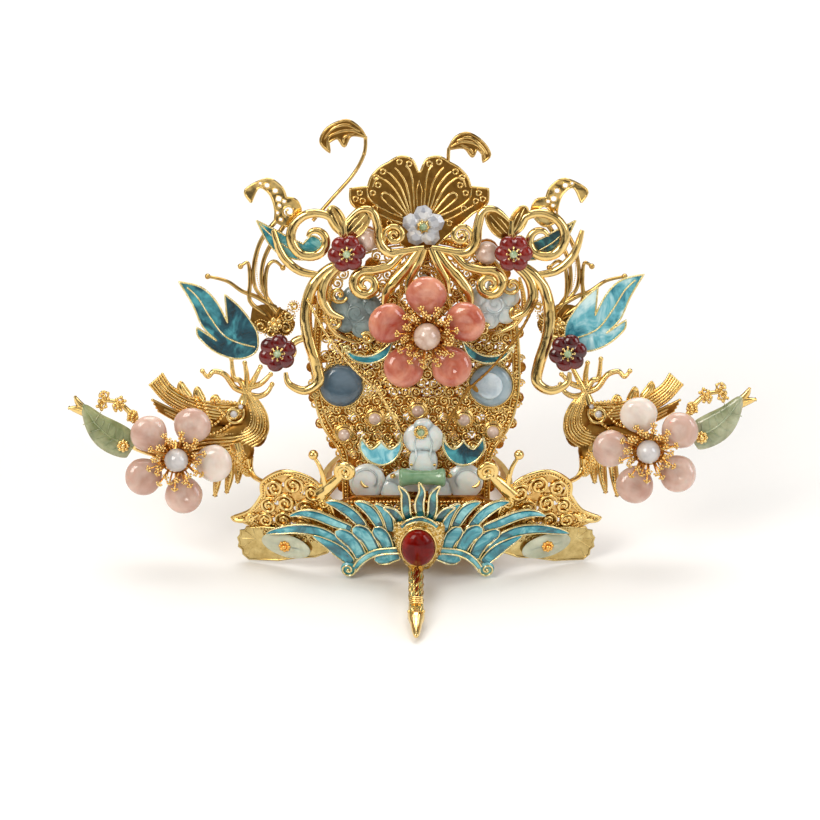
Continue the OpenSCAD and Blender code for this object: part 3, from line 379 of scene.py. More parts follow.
for name, (x, u, w, first, ring, r, thick, pearl, count) in flowers.items():
    for k in range(5):
        seat = (on_face(x, u, w) @ Matrix.Rotation(radians(first - 72 * k), 4, "Z")
                @ Matrix.Translation((ring, 0, 0)) @ Matrix.Rotation(radians(-petal_lean), 4, "Y"))
        form = bmesh.new()
        bmesh.ops.create_uvsphere(form, u_segments=36, v_segments=20, radius=1)
        for v in form.verts:
            narrow = 1 - 0.12 * max(0, -v.co.x)
            bell = ((v.co.x - 0.1) / dimple_size) ** 2 + (v.co.y / dimple_size) ** 2
            dimple = dimple_depth * 2.718 ** -bell if v.co.z > 0 else 0
            v.co = (v.co.x * r, v.co.y * r * narrow, (v.co.z - dimple) * thick)
        pale = milky_quartz if (name, k) in (("left", 1), ("right", 4)) else rose_quartz
        set_piece(f"{name}_petal_{k}", form, seat, strawberry_quartz if name == "centre" else pale,
                  [f"{name}_petals"])
    dress(f"{name}_pearl", peach_pearl_nacre if name == "centre" else freshwater_pearl)
    # The calyx lies under the seats of the petals, and its peg goes down to the face
    seat_thick, peg_foot = (4.8, 0.4) if name == "centre" else (4.6, 1.9)
    low = -seat_thick / 2 - 1.45
    form = bmesh.new()
    bmesh.ops.create_cone(form, cap_ends=True, segments=24, radius1=pearl + 0.2, radius2=pearl + 1.3,
                          depth=1.6, matrix=Matrix.Translation((0, 0, low + 1.2)))
    arms = [[(0, 0, low + 0.5, 1.4), (ring * cos(a), ring * sin(a), low + 0.4, 1.3)]
            for a in [radians(first - 72 * k) for k in range(5)]]
    arms.append([(0, 0, peg_foot - w, 1.2), (0, 0, low + 0.6, 1.2)])
    wires(form, arms, 10)
    stems, tips = [], bmesh.new()
    for i in range(count):
        a = radians(i * 360 / count + 5 * sin(i * 2.4))
        out, up = pearl + [3.2, 4.9, 2.1][i % 3], [3.9, 3.6, 3.7][i % 3] + 0.35 * sin(i * 1.7)
        stem = smooth_run([((pearl + 0.1) * cos(a), (pearl + 0.1) * sin(a), -1.6),
                           ((pearl + 0.7) * cos(a), (pearl + 0.7) * sin(a), 1.0),
                           (out * cos(a), out * sin(a), up)], 5)
        stems.append([(*p, 0.28) for p in stem])
        star(tips, stem[-1], (stem[-1] - stem[-2]).normalized(), 0.8)
    wires(form, stems, 6)
    for k in range(18):
        bead(form, ((pearl + 0.25) * cos(k * pi / 9), (pearl + 0.25) * sin(k * pi / 9), 0.3), 0.42)
    set_piece(f"{name}_stamens", form, on_face(x, u, w), warm_gilt, [f"{name}_calyx"])
    set_piece(f"{name}_stamen_tips", tips, on_face(x, u, w), gilt, [f"{name}_calyx"])

# Wings.
# Two swept wings of thin sheet behind the breast: long feathers outside, round ones over them, a shoulder
# band and a rolled end. Each feather is a gold wall soldered on the sheet and filled with blue glass paste.


def gold(name, deep, bright, roughness, relief, size, height, kind="grains"):
    """Gilt metal with grains or a satin of size millimetres; its colour follows the relief, painted shade in
    the hollows and a painted highlight on the tops.
    """
    made, tree, shader = finish(name, bright, roughness, 1.0)
    where = add(tree, "ShaderNodeTexCoord").outputs["Object"]
    if kind == "grains":
        bumps = add(tree, "ShaderNodeTexVoronoi", {"Scale": 1000 / size}, {"Vector": where})
        rise = add(tree, "ShaderNodeMapRange", {"From Min": 0.62, "From Max": 0.12},
                   {"Value": bumps.outputs["Distance"]})
    else:
        bumps = add(tree, "ShaderNodeTexNoise", {"Scale": 1000 / size, "Detail": 5.0, "Roughness": 0.6},
                    {"Vector": where})
        rise = add(tree, "ShaderNodeMapRange", {"From Min": 0.2, "From Max": 0.82},
                   {"Value": bumps.outputs["Fac"]})
    tones = add(tree, "ShaderNodeMix", {6: linear(deep), 7: linear(bright)},
                {"Factor": rise.outputs["Result"]}, {"data_type": "RGBA"})
    tree.links.new(tones.outputs[2], shader.inputs["Base Color"])
    bump = add(tree, "ShaderNodeBump", {"Strength": relief, "Distance": height / 1000},
               {"Height": rise.outputs["Result"]})
    tree.links.new(bump.outputs["Normal"], shader.inputs["Normal"])
    return made


def glass(name, deep, middle, light, patch, roughness=0.1):
    """Transparent enamel over tooled sheet: three tones in streaky patches of patch millimetres."""
    made, tree, shader = finish(name, middle, roughness, 0.0, coat_weight=1.0, coat_roughness=0.06)
    where = add(tree, "ShaderNodeTexCoord").outputs["Object"]
    large = add(tree, "ShaderNodeTexNoise",
                {"Scale": 1000 / patch, "Detail": 4.0, "Roughness": 0.6, "Distortion": 0.8},
                {"Vector": where})
    ramp = add(tree, "ShaderNodeValToRGB", links={"Fac": large.outputs["Fac"]})
    for stop, place, tone in zip(ramp.color_ramp.elements, (0.36, 0.66), (deep, light)):
        stop.position, stop.color = place, linear(tone)
    ramp.color_ramp.elements.new(0.5).color = linear(middle)
    tree.links.new(ramp.outputs["Color"], shader.inputs["Base Color"])
    fine = add(tree, "ShaderNodeTexNoise", {"Scale": 1400.0, "Detail": 2.0}, {"Vector": where})
    skin = add(tree, "ShaderNodeBump", {"Strength": 0.25, "Distance": 0.00015},
               {"Height": fine.outputs["Fac"]})
    tree.links.new(skin.outputs["Normal"], shader.inputs["Normal"])
    return made


# Blue enamel in streaky patches from deep to light, the light patches a painted reflection of the tooled
# sheet shining through; on the wings its edges take the darker edge enamel.
blue_enamel = glass("blue_glass_enamel", "#0c5b68", "#3198a8", "#98dade", 7)
# A darker enamel along each wall and at the root of each feather: partly the deeper glass where it climbs
# the walls, partly painted shade along the walls and under the feather above.
wall_depth_and_shade_enamel = glass("glass_enamel_along_the_walls", "#0a434e", "#186a79", "#2d8f9f", 6)
# The walls: flat wire of a paler gilding, ground level with the glass.
wall_gilt = gold("pale_gilt_wall_wire", "#e6d699", "#fff6d2", 0.24, 0.15, 1.2, 0.04)


def blade(form, rows, wide, w, dome=0.35, thick=0.4, blunt=False, edging=0):
    """Adds a domed feather along its rows, wide millimetres across, and gives back its edge."""
    path = flat_run(rows, 5)
    last = len(path) - 1
    lines = []
    for i, p in enumerate(path):
        t = i / last
        full = sin(pi * (0.2 + 0.8 * t)) ** 0.75
        if blunt:
            full = 0.7 + 0.5 * t - 0.2 * t * t if t < 0.6 else sqrt(max(1 - ((t - 0.6) / 0.4) ** 2, 0))
        ahead = (path[min(i + 1, last)] - path[max(i - 1, 0)]).normalized()
        side = Vector((-ahead.y, ahead.x, 0)) * max(full, 0.02) * wide / 2
        lines.append([form.verts.new(p + side * s + Vector((0, 0, w + dome * (1 - s * s))))
                      for s in (-1, -0.62, 0, 0.62, 1)])
    faces = [form.faces.new((a[k], a[k + 1], b[k + 1], b[k])) for a, b in zip(lines, lines[1:])
             for k in range(4)]
    # The outer strips and the first rows at the root take the edging material: on the wings, painted shade.
    for i, face in enumerate(faces):
        face.material_index = edging if i % 4 in (0, 3) or i < 8 else 0
    edge = [v.co.copy() for v in [row[0] for row in lines] + [row[-1] for row in reversed(lines)]]
    bmesh.ops.recalc_face_normals(form, faces=faces)
    bmesh.ops.solidify(form, geom=faces, thickness=thick)
    return edge


def rim(edge, r, lift=0.0):
    """A wire run all along an edge."""
    return [(p[0], p[1], p[2] + lift, r) for p in edge + edge[:1]]


def turned(form, rows, steps=32):
    """Adds a turned solid round the w axis, and gives back its corners. Rows: [height, radius]."""
    turns = [k * 2 * pi / steps for k in range(steps)]
    rings = [[form.verts.new((r * cos(a), r * sin(a), h)) for a in turns] for h, r in rows]
    for low, high in zip(rings, rings[1:]):
        for k in range(steps):
            form.faces.new((low[k], low[(k + 1) % steps], high[(k + 1) % steps], high[k]))
    form.faces.new(rings[0][::-1])
    form.faces.new(rings[-1])
    return [corner for ring in rings for corner in ring]


def upright(f, hinge=0.0, turn=0.0, side=RIGHT):
    """Places an upright drawing f in front of the ring's middle, turned back about its hinge."""
    spin = Matrix.Rotation(radians(turn), 4, "Z") @ Matrix.Rotation(radians(90), 4, "X")
    return METRES @ mirror(side) @ Matrix.Translation((hinge, -f, 0)) @ spin


def wing_place(side):
    """Places a wing: hinged 5 mm from the middle and swept back 10 degrees."""
    return Matrix.Translation((0.0004, 0, 0)) @ upright(43.3, 5, 10, side) @ Matrix.Translation((-5, 0, 0))


whorl_x, whorl_y = 20.5, 3.1
# Feathers: [width, blunt tip, how far in front of the sheet, places from root to tip]
wing_feathers = [
    [3.3, False, -0.7, [(20.5, 8.4), (24.2, 11.9), (29.5, 14.4), (35.6, 14.7), (41.6, 13.4), (45, 12.3)]],
    [3.0, False, -0.6, [(19.8, 16.4), (24.3, 17.8), (30.3, 19.9), (34.6, 20.1), (38, 19)]],
    [3.3, False, -0.5, [(16, 17.6), (19.5, 21.4), (23.6, 24), (27.2, 24.8)]],
    [3.3, False, -0.4, [(11, 18), (13.4, 22.3), (15.8, 24.5), (18.6, 25.6)]],
    [2.9, False, -0.3, [(8, 17), (8.7, 21), (10.3, 23.8), (12.6, 25.6)]],
    [3.8, False, -0.2, [(19.6, 5.2), (22.6, 8.0), (26.2, 10.6), (31, 13.2)]],
    [4.6, True, -0.2, [(16.6, 7.2), (18.2, 10.6), (20.6, 13.3), (24.3, 15.4)]],
    [5.0, True, 0.0, [(12.4, 9.2), (14.4, 13.4), (16.4, 15.6), (19.2, 16.9)]],
    [4.6, True, 0.2, [(8.6, 11), (9.8, 14.4), (12.7, 18)]],
    [4.4, True, 0.1, [(5.6, 9.6), (8.4, 8.4), (12.6, 7.0)]],
]
for side, hand in SIDES.items():
    form, walls = bmesh.new(), bmesh.new()
    for wide, blunt, w, rows in wing_feathers:
        edge = blade(form, rows, wide, w, 0.4, 0.5, blunt, 1)
        wires(walls, [rim(edge, 0.24)], 6)
    for wide, blunt, w, rows in wing_feathers:
        blade(walls, rows, wide + 0.1, -1.1, 0.1, 0.4, blunt)
    blade(walls, [(6, 10), (12, 12), (18, 9.5), (22, 6)], 9, -1.15, 0.1, 0.3, True)
    band = flat_run([(5.6, 11.2), (11, 10.2), (14.4, 8.5), (17, 6), (18.4, 3.6)])
    blade(form, [(5.6, 11.2), (11, 10.2), (14.4, 8.5), (17, 6), (18.6, 3.6)], 2.3, 0.45, 0.5, 0.8, True)
    for way in (-0.95, 0.95):
        wires(walls, [[(p.x - way * 0.45, p.y - way * 0.9, 0.75, 0.3) for p in band]], 8)
    whorl = coil(whorl_x, whorl_y, 2.3, 0.5, 160, 690, 40)
    wires(walls, [[(*p, 0.55, 0.32) for p in whorl]])
    bead(walls, (whorl_x, whorl_y, 0.5), 0.5, 2)
    bmesh.ops.translate(form, verts=turned(form, [(-1, 2.2), (0.35, 2.2)]), vec=(whorl_x, whorl_y, 0))
    set_piece(f"wing_enamel_{hand}", form, wing_place(side), blue_enamel, [f"wing_{hand}"],
              wall_depth_and_shade_enamel)
    set_piece(f"wing_walls_{hand}", walls, wing_place(side), wall_gilt, [f"wing_{hand}"])

# Front bird.
# A shield-shaped breast of granulated sheet with a red stone in a rolled bezel, an enamel crest of five
# prongs, and a cast and chased neck with a ball-shaped head and a thin beak. Soldered to a bracket behind.


def bead_row(form, run, size, pitch, rings=1):
    """Adds balls along a run, one each pitch, as milgrain or granulation has them."""
    left = 0.0
    for a, b in zip(run, run[1:]):
        a, b = Vector(a[:3]), Vector(b[:3])
        long = (b - a).length
        while left < long:
            bead(form, a.lerp(b, left / long), size, rings)
            left += pitch
        left -= long


# Grains of gold soldered side by side on a sheet, painted darker and redder between them: painted shade in
# the gaps.
granulated = gold("granulated_gilt_sheet", "#b8903f", "#fbecb8", 0.26, 0.6, 0.7, 0.1)
teal_enamel = glass("dark_teal_glass_enamel", "#063840", "#125861", "#4fa9ad", 5)
breast_x = 0.9
breast_rows = [(0, 6.2), (2.8, 6.4), (5.2, 10), (6.8, 14), (7.2, 18), (7.1, 21.4), (3.6, 22.2), (0, 22.8)]
stone_x, stone_z = 0.6, 13.8
# The turn from one seed to the next in a sunflower, which spreads grains evenly
GOLDEN_TURN = 2.39996
form = bmesh.new()
half = flat_run(breast_rows, 3)
edge = half + [Vector((-p.x, p.y, 0)) for p in reversed(half)]
middle = Vector((0, 15, 0))
shrink = 0.97
rings = []
for k in range(7):
    t = k / 6
    rings.append([form.verts.new(middle.lerp(p, t) + Vector((0, 0, 1.5 - 1.1 * t ** 2.5)))
                  for p in edge[:-1]])
for low, high in zip(rings, rings[1:]):
    for k in range(len(low)):
        form.faces.new((low[k], low[(k + 1) % len(low)], high[(k + 1) % len(low)], high[k]))
bmesh.ops.remove_doubles(form, verts=form.verts, dist=0.001)
bmesh.ops.solidify(form, geom=form.faces[:], thickness=0.5)
bead_row(form, [(p.x * shrink, middle.y + (p.y - middle.y) * shrink, 0.75) for p in edge], 0.42, 0.9)
for k in range(52):
    a, r = k * GOLDEN_TURN, 0.9 * sqrt(k)
    x, y = stone_x - breast_x + r * 1.1 * cos(a), stone_z + r * 1.25 * sin(a)
    if (x - stone_x + breast_x) ** 2 + (y - stone_z) ** 2 > 37 and abs(x) < 6.2 and 8 < y < 23:
        bead(form, (x, y, 1.35), 0.5)
pin(form, 0, 8.4, -9, 0.6, 1.8, 10)
set_piece("breast_shield", form, upright(45, breast_x), granulated, ["phoenix"])

form = bmesh.new()
turned(form, [(0.6, 5.5), (2.2, 5.5), (2.7, 5.35), (2.85, 5.15), (2.6, 4.95), (0.6, 4.9)], 48)
bead_row(form, [(5.55 * cos(k * pi / 30), 5.55 * sin(k * pi / 30), 1.0) for k in range(61)], 0.28, 0.58)
oval = Matrix.Translation((0, stone_z + 0.6, 0)) @ Matrix.Diagonal((1, 1.22, 1, 1))
set_piece("breast_bezel", form, upright(45, stone_x) @ oval, gilt, ["phoenix"])
red_agate = stone("polished_red_agate", "#640805", "#9a190c", 6.0, 0.2, 0.03, 1.2, 0.0)
red_agate.node_tree.nodes["Principled BSDF"].inputs["IOR"].default_value = 1.33
form = bmesh.new()
dome = [(1.0 + 3.35 * sin(radians(a)), 4.85 * cos(radians(a))) for a in range(6, 90, 7)]
turned(form, [(0, 4.85), (1.0, 4.85)] + dome + [(4.35, 0.02)], 48)
set_piece("breast_stone", form, upright(46.8, stone_x) @ oval, red_agate, ["cabochon"])

# Neck and head: [distance along, radius]
neck_rows = [(0, 2.3), (1.5, 2.15), (4, 2.1), (8, 2.15), (13, 2.1), (16, 2.1), (18, 2.2), (20.4, 2.35),
             (22.6, 2.5), (24.4, 2.5), (25.8, 2.15), (27, 1.8), (28.4, 1.6), (30, 1.45), (31.6, 1.15),
             (32.8, 0.8), (33.5, 0.35)]
form = bmesh.new()
turned(form, neck_rows, 24)
# Chased feathers: short ridges that run down the neck, set in staggered rows
ridges = []
for h in range(9):
    for k in range(7):
        a = (k + h % 2 / 2) * 2 * pi / 7
        ridges.append([(2.0 * cos(a + t * 0.25), 2.0 * sin(a + t * 0.25), 0.9 + h * 1.9 + 2.1 * t,
                        0.34 * (1 - t * t)) for t in (-0.9, -0.5, 0, 0.5, 0.9)])
wires(form, ridges, 6)
for way in (-1, 1):
    bead(form, (way * 2.05, 1.3, 23), 0.6, 2)
    wires(form, [[(way * r * cos(a), 2.75 - 0.8 * abs(sin(a)), 22.6 + r * sin(a), 0.3)
                  for r, a in [(1.4, k * 0.5) for k in range(8)]]], 6)
    wires(form, [[(way * 0.9, 1.9, 25.4, 0.35), (way * 0.7, 1.45, 28.6, 0.3), (0, 1.1, 32.2, 0.2)]], 6)
for h in range(4):
    wires(form, [[(1.8 * s, 2.1 + 0.5 * (1 - s * s), 17.8 + h * 0.9 - 0.6 * s * s, 0.3)
                  for s in (-1, -0.5, 0, 0.5, 1)]], 6)
set_piece("bird_neck", form, METRES @ Matrix.Translation((0, -45, 6.3))
          @ Matrix.Rotation(radians(97.4), 4, "X"), gilt, ["phoenix"])

# Crest prongs, from the breast to the tip, right of the middle: [x, height]
flame_rows = [[(0.6, 22.2), (0.1, 25.5), (0.1, 28.2), (0.8, 31.4), (0, 34.6)],
              [(2.9, 21.8), (3.8, 25), (4, 28.6), (4.4, 31), (6, 33.4)],
              [(5, 20), (6.2, 22.8), (8, 25), (10.4, 26.2)]]
form, walls = bmesh.new(), bmesh.new()
for way in (-1, 1):
    for k, rows in enumerate(flame_rows[0 if way > 0 else 1:]):
        edge = blade(form, [(way * x, y) for x, y in rows], 2.5, 0.6, 0.2, 0.5)
        wires(walls, [rim(edge, 0.33, lift=0.2)], 6)
arch = smooth_run([(-5.2, 20.5, 1.9), (-3.4, 22.1, 1.9), (0.3, 23.2, 1.9), (3.4, 22.1, 1.9),
                   (5.2, 20.5, 1.9)])
wires(form, [[(*p, 0.75) for p in arch]])
wires(walls, [[(p.x, p.y + rise, 2.3, 0.3) for p in arch] for rise in (-0.8, 0.75)], 6)
for way in (-1, 1):
    wires(walls, [[(way * x, y, -0.2, 1.0) for x, y in [(6, 17), (5, 19.4), (2.8, 21.4), (0, 22)]]])
set_piece("crest_enamel", form, upright(43.9, breast_x), teal_enamel, ["flame"])
set_piece("crest_walls", walls, upright(43.9, breast_x), wall_gilt, ["flame"])

# Fan.
# A two-lobed shell at the top of the panel, a sheet of dark brown gilt brass with ribs and small rings of
# wire soldered on it and a round wire along its edge.


def outline(runs, n=5, mirrored=False):
    """A closed outline from smooth runs that meet at corners, mirrored where they are half of it."""
    found = []
    for run in runs:
        found += flat_run(run, n)[:-1]
    if mirrored:
        found.append(Vector((*runs[-1][-1], 0)))
        found += [Vector((-p.x, p.y, 0)) for p in reversed(found) if p.x > 0.01]
    return found


def hoop(x, u, w, size, r, n=24):
    """A closed ring of wire of radius r round x, u."""
    return [(*p, w, r) for p in coil(x, u, size, size, 0, 360, n)]


def cut(form, outlines, thick, w=0.0, edge=0.1):
    """Adds a flat plate cut to an outline, the others as holes in it, with eased edges."""
    curve = bpy.data.curves.new("plate", "CURVE")
    curve.dimensions, curve.fill_mode, curve.bevel_resolution = "2D", "BOTH", 1
    curve.extrude, curve.bevel_depth, curve.offset = thick / 2 - edge, edge, -edge
    for places in outlines:
        spline = curve.splines.new("POLY")
        spline.points.add(len(places) - 1)
        spline.use_cyclic_u = True
        for point, p in zip(spline.points, places):
            point.co = (p[0], p[1], 0, 1)
    holder = bpy.data.objects.new("plate", curve)
    sheet = bpy.data.meshes.new_from_object(holder)
    bpy.data.objects.remove(holder)
    sheet.transform(Matrix.Translation((0, 0, w + thick / 2)))
    form.from_mesh(sheet)


# Dark brown gilt, for fields between raised wires. On the right-hand gold petals and tendril, and under
# the side birds' strands, it is painted shade.
brown_and_shade_gilt = gold("brown_gilt_sheet_and_painted_shade", "#7a5220", "#b88a42", 0.28, 0.3, 2.0, 0.08, "satin")
fan_x, fan_w = 0.9, 0.35
fan_runs = [[(0, 83), (4, 84), (9, 88), (15.6, 94)], [(15.6, 94), (19.8, 97), (20.2, 101.4)],
            [(20.2, 101.4), (15, 102)], [(15, 102), (14, 105), (11.4, 107.8), (9, 109.2)],
            [(9, 109.2), (5.8, 111), (2.2, 110.2), (0.4, 106.5)]]
# Ribs of one lobe: [x, u]
fan_ribs = [[(1.2, 92), (1.9, 103), (2.7, 106.8), (4, 108.4)],
            [(1.8, 92), (3.6, 102), (5.6, 106), (7.2, 107.8)],
            [(2.3, 92.4), (5, 101), (7.8, 105.2), (9.4, 106.6)],
            [(2.8, 92.8), (6.6, 100.4), (9.9, 104), (12.4, 104.8), (13.7, 102)],
            [(3.3, 93), (7.6, 98.6), (9.6, 100.2), (10.9, 99.8), (10.4, 98), (5, 93.4)],
            [(3.3, 92.2), (10.6, 95.4), (14.6, 98.4), (15.3, 101.6)], [(4, 90.8), (10, 93), (16, 96.6)]]
fan_rings = [(5.8, 109.5), (3, 108.9), (10.6, 106.6), (12.6, 104.9), (12, 102.6), (13.6, 100.2),
             (17.4, 100.2), (18.6, 98.4), (16.6, 97.8), (13, 95.6), (8.8, 91.2)]
form, walls = bmesh.new(), bmesh.new()
edge = outline(fan_runs, 5, True)
cut(form, [edge], 1.0, fan_w)
wires(walls, [rim(edge, 0.36, lift=fan_w + 0.9)], 8)
for way in (-1, 1):
    wires(walls, [swell([(way * p.x, p.y) for p in flat_run(rows, 5)], 0.36, 0.38, 0.28, fan_w + 1.05)
                  for rows in fan_ribs], 6)
    wires(walls, [hoop(way * x, u, fan_w + 1.1, 0.75, 0.3, 10) for x, u in fan_rings], 6)
wires(walls, [[(x, u, fan_w + 1.1, 0.28)
               for x, u in [(-0.5, 94), (-0.8, 101), (0, 104), (0.8, 101), (0.5, 94)]]], 6)
set_piece("fan_field", form, on_face(fan_x), brown_and_shade_gilt, ["fan"])
set_piece("fan_ribs", walls, on_face(fan_x), gilt, ["fan"])

# Curls.
# A hooked acanthus leaf on a long stem each side of the fan, cast, chased along its ridges and gilded.
# The left one stands in front of the fan and the right one behind it.

# A darker gilt than the polished one, in satin tones.
darker_gilt = gold("darker_gilt_sheet", "#a87a34", "#f2d28a", 0.14, 0.15, 2.5, 0.05, "satin")
curls = [
    ["left", LEFT, 3.2, [(30.2, 92.4), (24.6, 99), (18.4, 106.2), (15.2, 112.4), (14.8, 117.6)],
     [[(14.8, 117.4), (16.6, 120.2), (20.4, 122.4), (25.8, 120.2), (28, 116), (25.3, 112.8)],
      [(25.3, 112.8), (25.6, 115.8)],
      [(25.6, 115.8), (23, 117), (21, 114.6), (19, 117.8), (14.8, 117.4)]],
     [[(15.4, 118), (18.8, 119.4), (22.4, 119), (25.6, 117.4), (25.9, 114)],
      [(16.4, 119), (20, 121), (24, 120.2), (26.9, 116.8)],
      [(18, 118.6), (21, 117.4), (21.2, 115.6)]]],
    ["right", RIGHT, -1.5, [(9, 100), (9.2, 106), (9.5, 113)],
     [[(9.4, 112.8), (11.6, 116.4), (15.2, 117.6), (19.4, 115), (21.6, 111.2), (19.6, 109)],
      [(19.6, 109), (19.4, 111.4)],
      [(19.4, 111.4), (17.8, 112.8), (16.4, 110.6), (14, 113.2), (9.4, 112.8)]],
     [[(10.2, 113.6), (13, 115), (16.8, 114.6), (19.6, 112.4), (20.2, 110)],
      [(12, 115.4), (15.4, 116.4), (18.8, 114.2), (20.8, 111.4)],
      [(13, 114.2), (15.8, 112.8), (16.6, 111.4)]]],
]
for name, side, w, stem, runs, veins in curls:
    form, field = bmesh.new(), bmesh.new()
    edge = outline(runs, 5)
    cut(field, [edge], 0.9, w)
    set_piece(f"curl_field_{name}", field, on_face(side=side), brown_and_shade_gilt, [f"curl_{name}"])
    path = flat_run(stem, 6)
    wires(form, [rim(edge, 0.4, lift=w + 0.7), [(p.x, p.y, w + 0.6, 0.55) for p in path]], 8)
    wires(form, [swell(flat_run(rows, 5), 0.35, 0.55, 0.25, w + 0.85) for rows in veins], 8)
    for p in path[3::5]:
        bead(form, (p.x, p.y, w + 0.6), 0.62, 2)
    set_piece(f"curl_leaf_{name}", form, on_face(side=side), darker_gilt, [f"curl_{name}"])

# Gold petals.
# Two domed leaves of gold sheet each side, behind the upper red flower, with chased veins and a wire edge.
# They are raised with a hammer over a stake. The right ones take the brown gilt: painted shade.


def lobe(form, place, sizes, turn=0, across=32, down=16):
    """Adds a stretched ball, a rounded lobe of stone or metal. Its sizes are half widths."""
    bmesh.ops.create_uvsphere(form, u_segments=across, v_segments=down, radius=1,
                              matrix=Matrix.Translation(place) @ Matrix.Rotation(radians(turn), 4, "Z")
                              @ Matrix.Diagonal((*sizes, 1)))


# The left petals take the darker gilt; the right ones take the brown gilt as painted shade.
for side, skin in [(LEFT, darker_gilt), (RIGHT, brown_and_shade_gilt)]:
    hand = SIDES[side]
    form, veins = bmesh.new(), bmesh.new()
    for (x, u), turn, long, wide in [((21, 91.5), 131, 5.2, 3.0), ((26.6, 93), 65, 4.6, 2.4)]:
        lay = Matrix.Translation((x, u, 0.7)) @ Matrix.Rotation(radians(turn), 4, "Z")
        lobe(form, (x, u, 0.7), (long, wide, 0.75), turn)
        edge = [(*(lay @ Vector((long * 0.98 * cos(a), wide * 0.98 * sin(a), 0.1))), 0.3)
                for a in [k * pi / 16 for k in range(33)]]
        fold = [[(*(lay @ Vector((long * t, wide * b * sin(pi * (t + 1) / 2),
                                  0.72 - 0.7 * t * t - 0.5 * b * b))), 0.2)
                 for t in (-0.8, -0.3, 0.2, 0.6, 0.85)]
                for b in (-0.5, 0.0, 0.5)]
        wires(veins, [edge] + fold, 6)
    at = on_face(scroll_shift, 0, 5.0, side)
    set_piece(f"gold_petals_{hand}", form, at, skin, [f"scroll_{hand}"])
    set_piece(f"gold_petal_veins_{hand}", veins, at, gilt, [f"scroll_{hand}"])

# Horns.
# Openwork blades with a hooked tip: two solid edge wires, small scrolls and a rolled eye between them, on a
# double stem with feelers and a leafy root.
horn_w = 1.4
# The middle of the filigree flower on the root, and the place that the root's folds spread from
root_x, root_u = 41.4, 61.4
fold_x, fold_u = 41.6, 61.6
horn_blade = outline([[(48.3, 97.5), (50, 101.2), (43.6, 104.6), (39.4, 102.2), (38, 99)],
                      [(38, 99), (35, 98.2), (33.8, 94.4), (37.4, 90.4), (41.4, 92)],
                      [(41.4, 92), (41.3, 95.5), (42.8, 100), (46, 102), (48.3, 97.5)]])
# Pierced eyes of the blade: [x, u, radius]
horn_eyes = [(37.2, 94.8, 1.5), (38.6, 97.8, 0.5), (40.2, 98.6, 0.8), (40, 96.6, 0.5), (41.2, 101, 0.7),
             (43.6, 102.6, 0.7), (39.6, 92.4, 0.5), (40.6, 94.4, 0.45), (45.6, 103.2, 0.4)]
horn_stems = [[(41, 92), (45.2, 86.4), (47.4, 79.3), (47.2, 72.4), (44, 68), (41, 64.6)],
              [(38.6, 90.6), (43, 84), (45, 78.4), (45, 72), (42.4, 67.4), (40, 64)],
              [(41, 66), (47, 69.4), (51, 71), (55.4, 74), (61, 75.4)],
              [(44, 64), (48.6, 68), (48.6, 74), (49.2, 79.4), (51.4, 78.4)],
              [(40.6, 63.8), (43.8, 69), (43.8, 77.2), (41.6, 80), (39, 78)]]
horn_root = [(48, 66), (44, 67), (38, 65), (35.4, 61), (38, 57.8), (42, 57.6), (46.4, 59.4), (48.4, 62)]
for side, hand in SIDES.items():
    form, root = bmesh.new(), bmesh.new()
    cut(form, [horn_blade] + [[Vector(p) for p in coil(x, u, r, r, 0, 330, 11)] for x, u, r in horn_eyes],
        0.9, horn_w)
    wires(form, [rim(horn_blade, 0.34, lift=horn_w + 0.8),
                 [(*p, horn_w + 0.9, 0.3) for p in coil(37.2, 94.8, 2.0, 0.6, -60, 440, 26)]], 8)
    stems = bmesh.new()
    wires(stems, [swell(flat_run(rows, 5), 0.75, 0.62, 0.45, horn_w + 0.6) for rows in horn_stems], 8)
    for x, u in [(61, 75.4), (51.4, 78.4), (39, 78)]:
        bead(stems, (x, u, horn_w + 0.6), 0.9, 2)
    set_piece(f"horn_stems_{hand}", stems, on_face(side=side), darker_gilt, [f"horn_{hand}"])
    for x, u, r in horn_eyes[1:]:
        wires(form, [hoop(x, u, horn_w + 0.9, r + 0.2, 0.16, 10)], 6)
    path = smooth_run([(41.6, 91, horn_w + 1), (45.6, 84.4, horn_w + 1), (46.6, 76, horn_w + 1),
                       (44.6, 68.6, horn_w + 1)])
    bead_row(form, path, 0.24, 0.62)
    pin(form, root_x, root_u, 1.8, 4.7, 1.0)
    # The filigree flower and scrolls on the root
    for k in range(6):
        a = radians(60 * k + 15)
        bead(form, (root_x + 1.5 * cos(a), root_u + 1.5 * sin(a), 4.2), 0.85, 2, 0.6)
    bead(form, (root_x, root_u, 4.6), 0.8, 2)
    for x, u, r, a in [(38.2, 60.2, 1.7, 40), (37.4, 63.8, 1.5, 160), (45.4, 60.6, 1.6, 200),
                       (42.6, 58.8, 1.3, 90), (35.8, 66.6, 1.2, 10)]:
        wires(form, [swell(coil(x, u, r, 0.4, a, a + 480, 20), 0.25, 0.4, 0.25, horn_w + 1.5)], 6)
        bead_row(form, [(*p, horn_w + 1.5) for p in coil(x, u, r + 0.5, r + 0.5, 0, 360, 14)], 0.28, 0.7)
    set_piece(f"horn_blade_{hand}", form, on_face(side=side), gilt, [f"horn_{hand}"])
    cut(root, [flat_run(horn_root + horn_root[:1], 4)[:-1]], 0.9, horn_w)
    for k in range(9):
        a = radians(35 + k * 24)
        tip = (fold_x + 6.2 * cos(a), fold_u + 4.9 * sin(a))
        bend = ((fold_x + tip[0]) / 2, (fold_u + tip[1]) / 2 + 0.4)
        wires(root, [swell([(fold_x, fold_u), bend, tip], 0.5, 0.55, 0.25, horn_w + 0.9)], 6)
    set_piece(f"horn_root_{hand}", root, on_face(side=side), brown_and_shade_gilt, [f"horn_{hand}"])

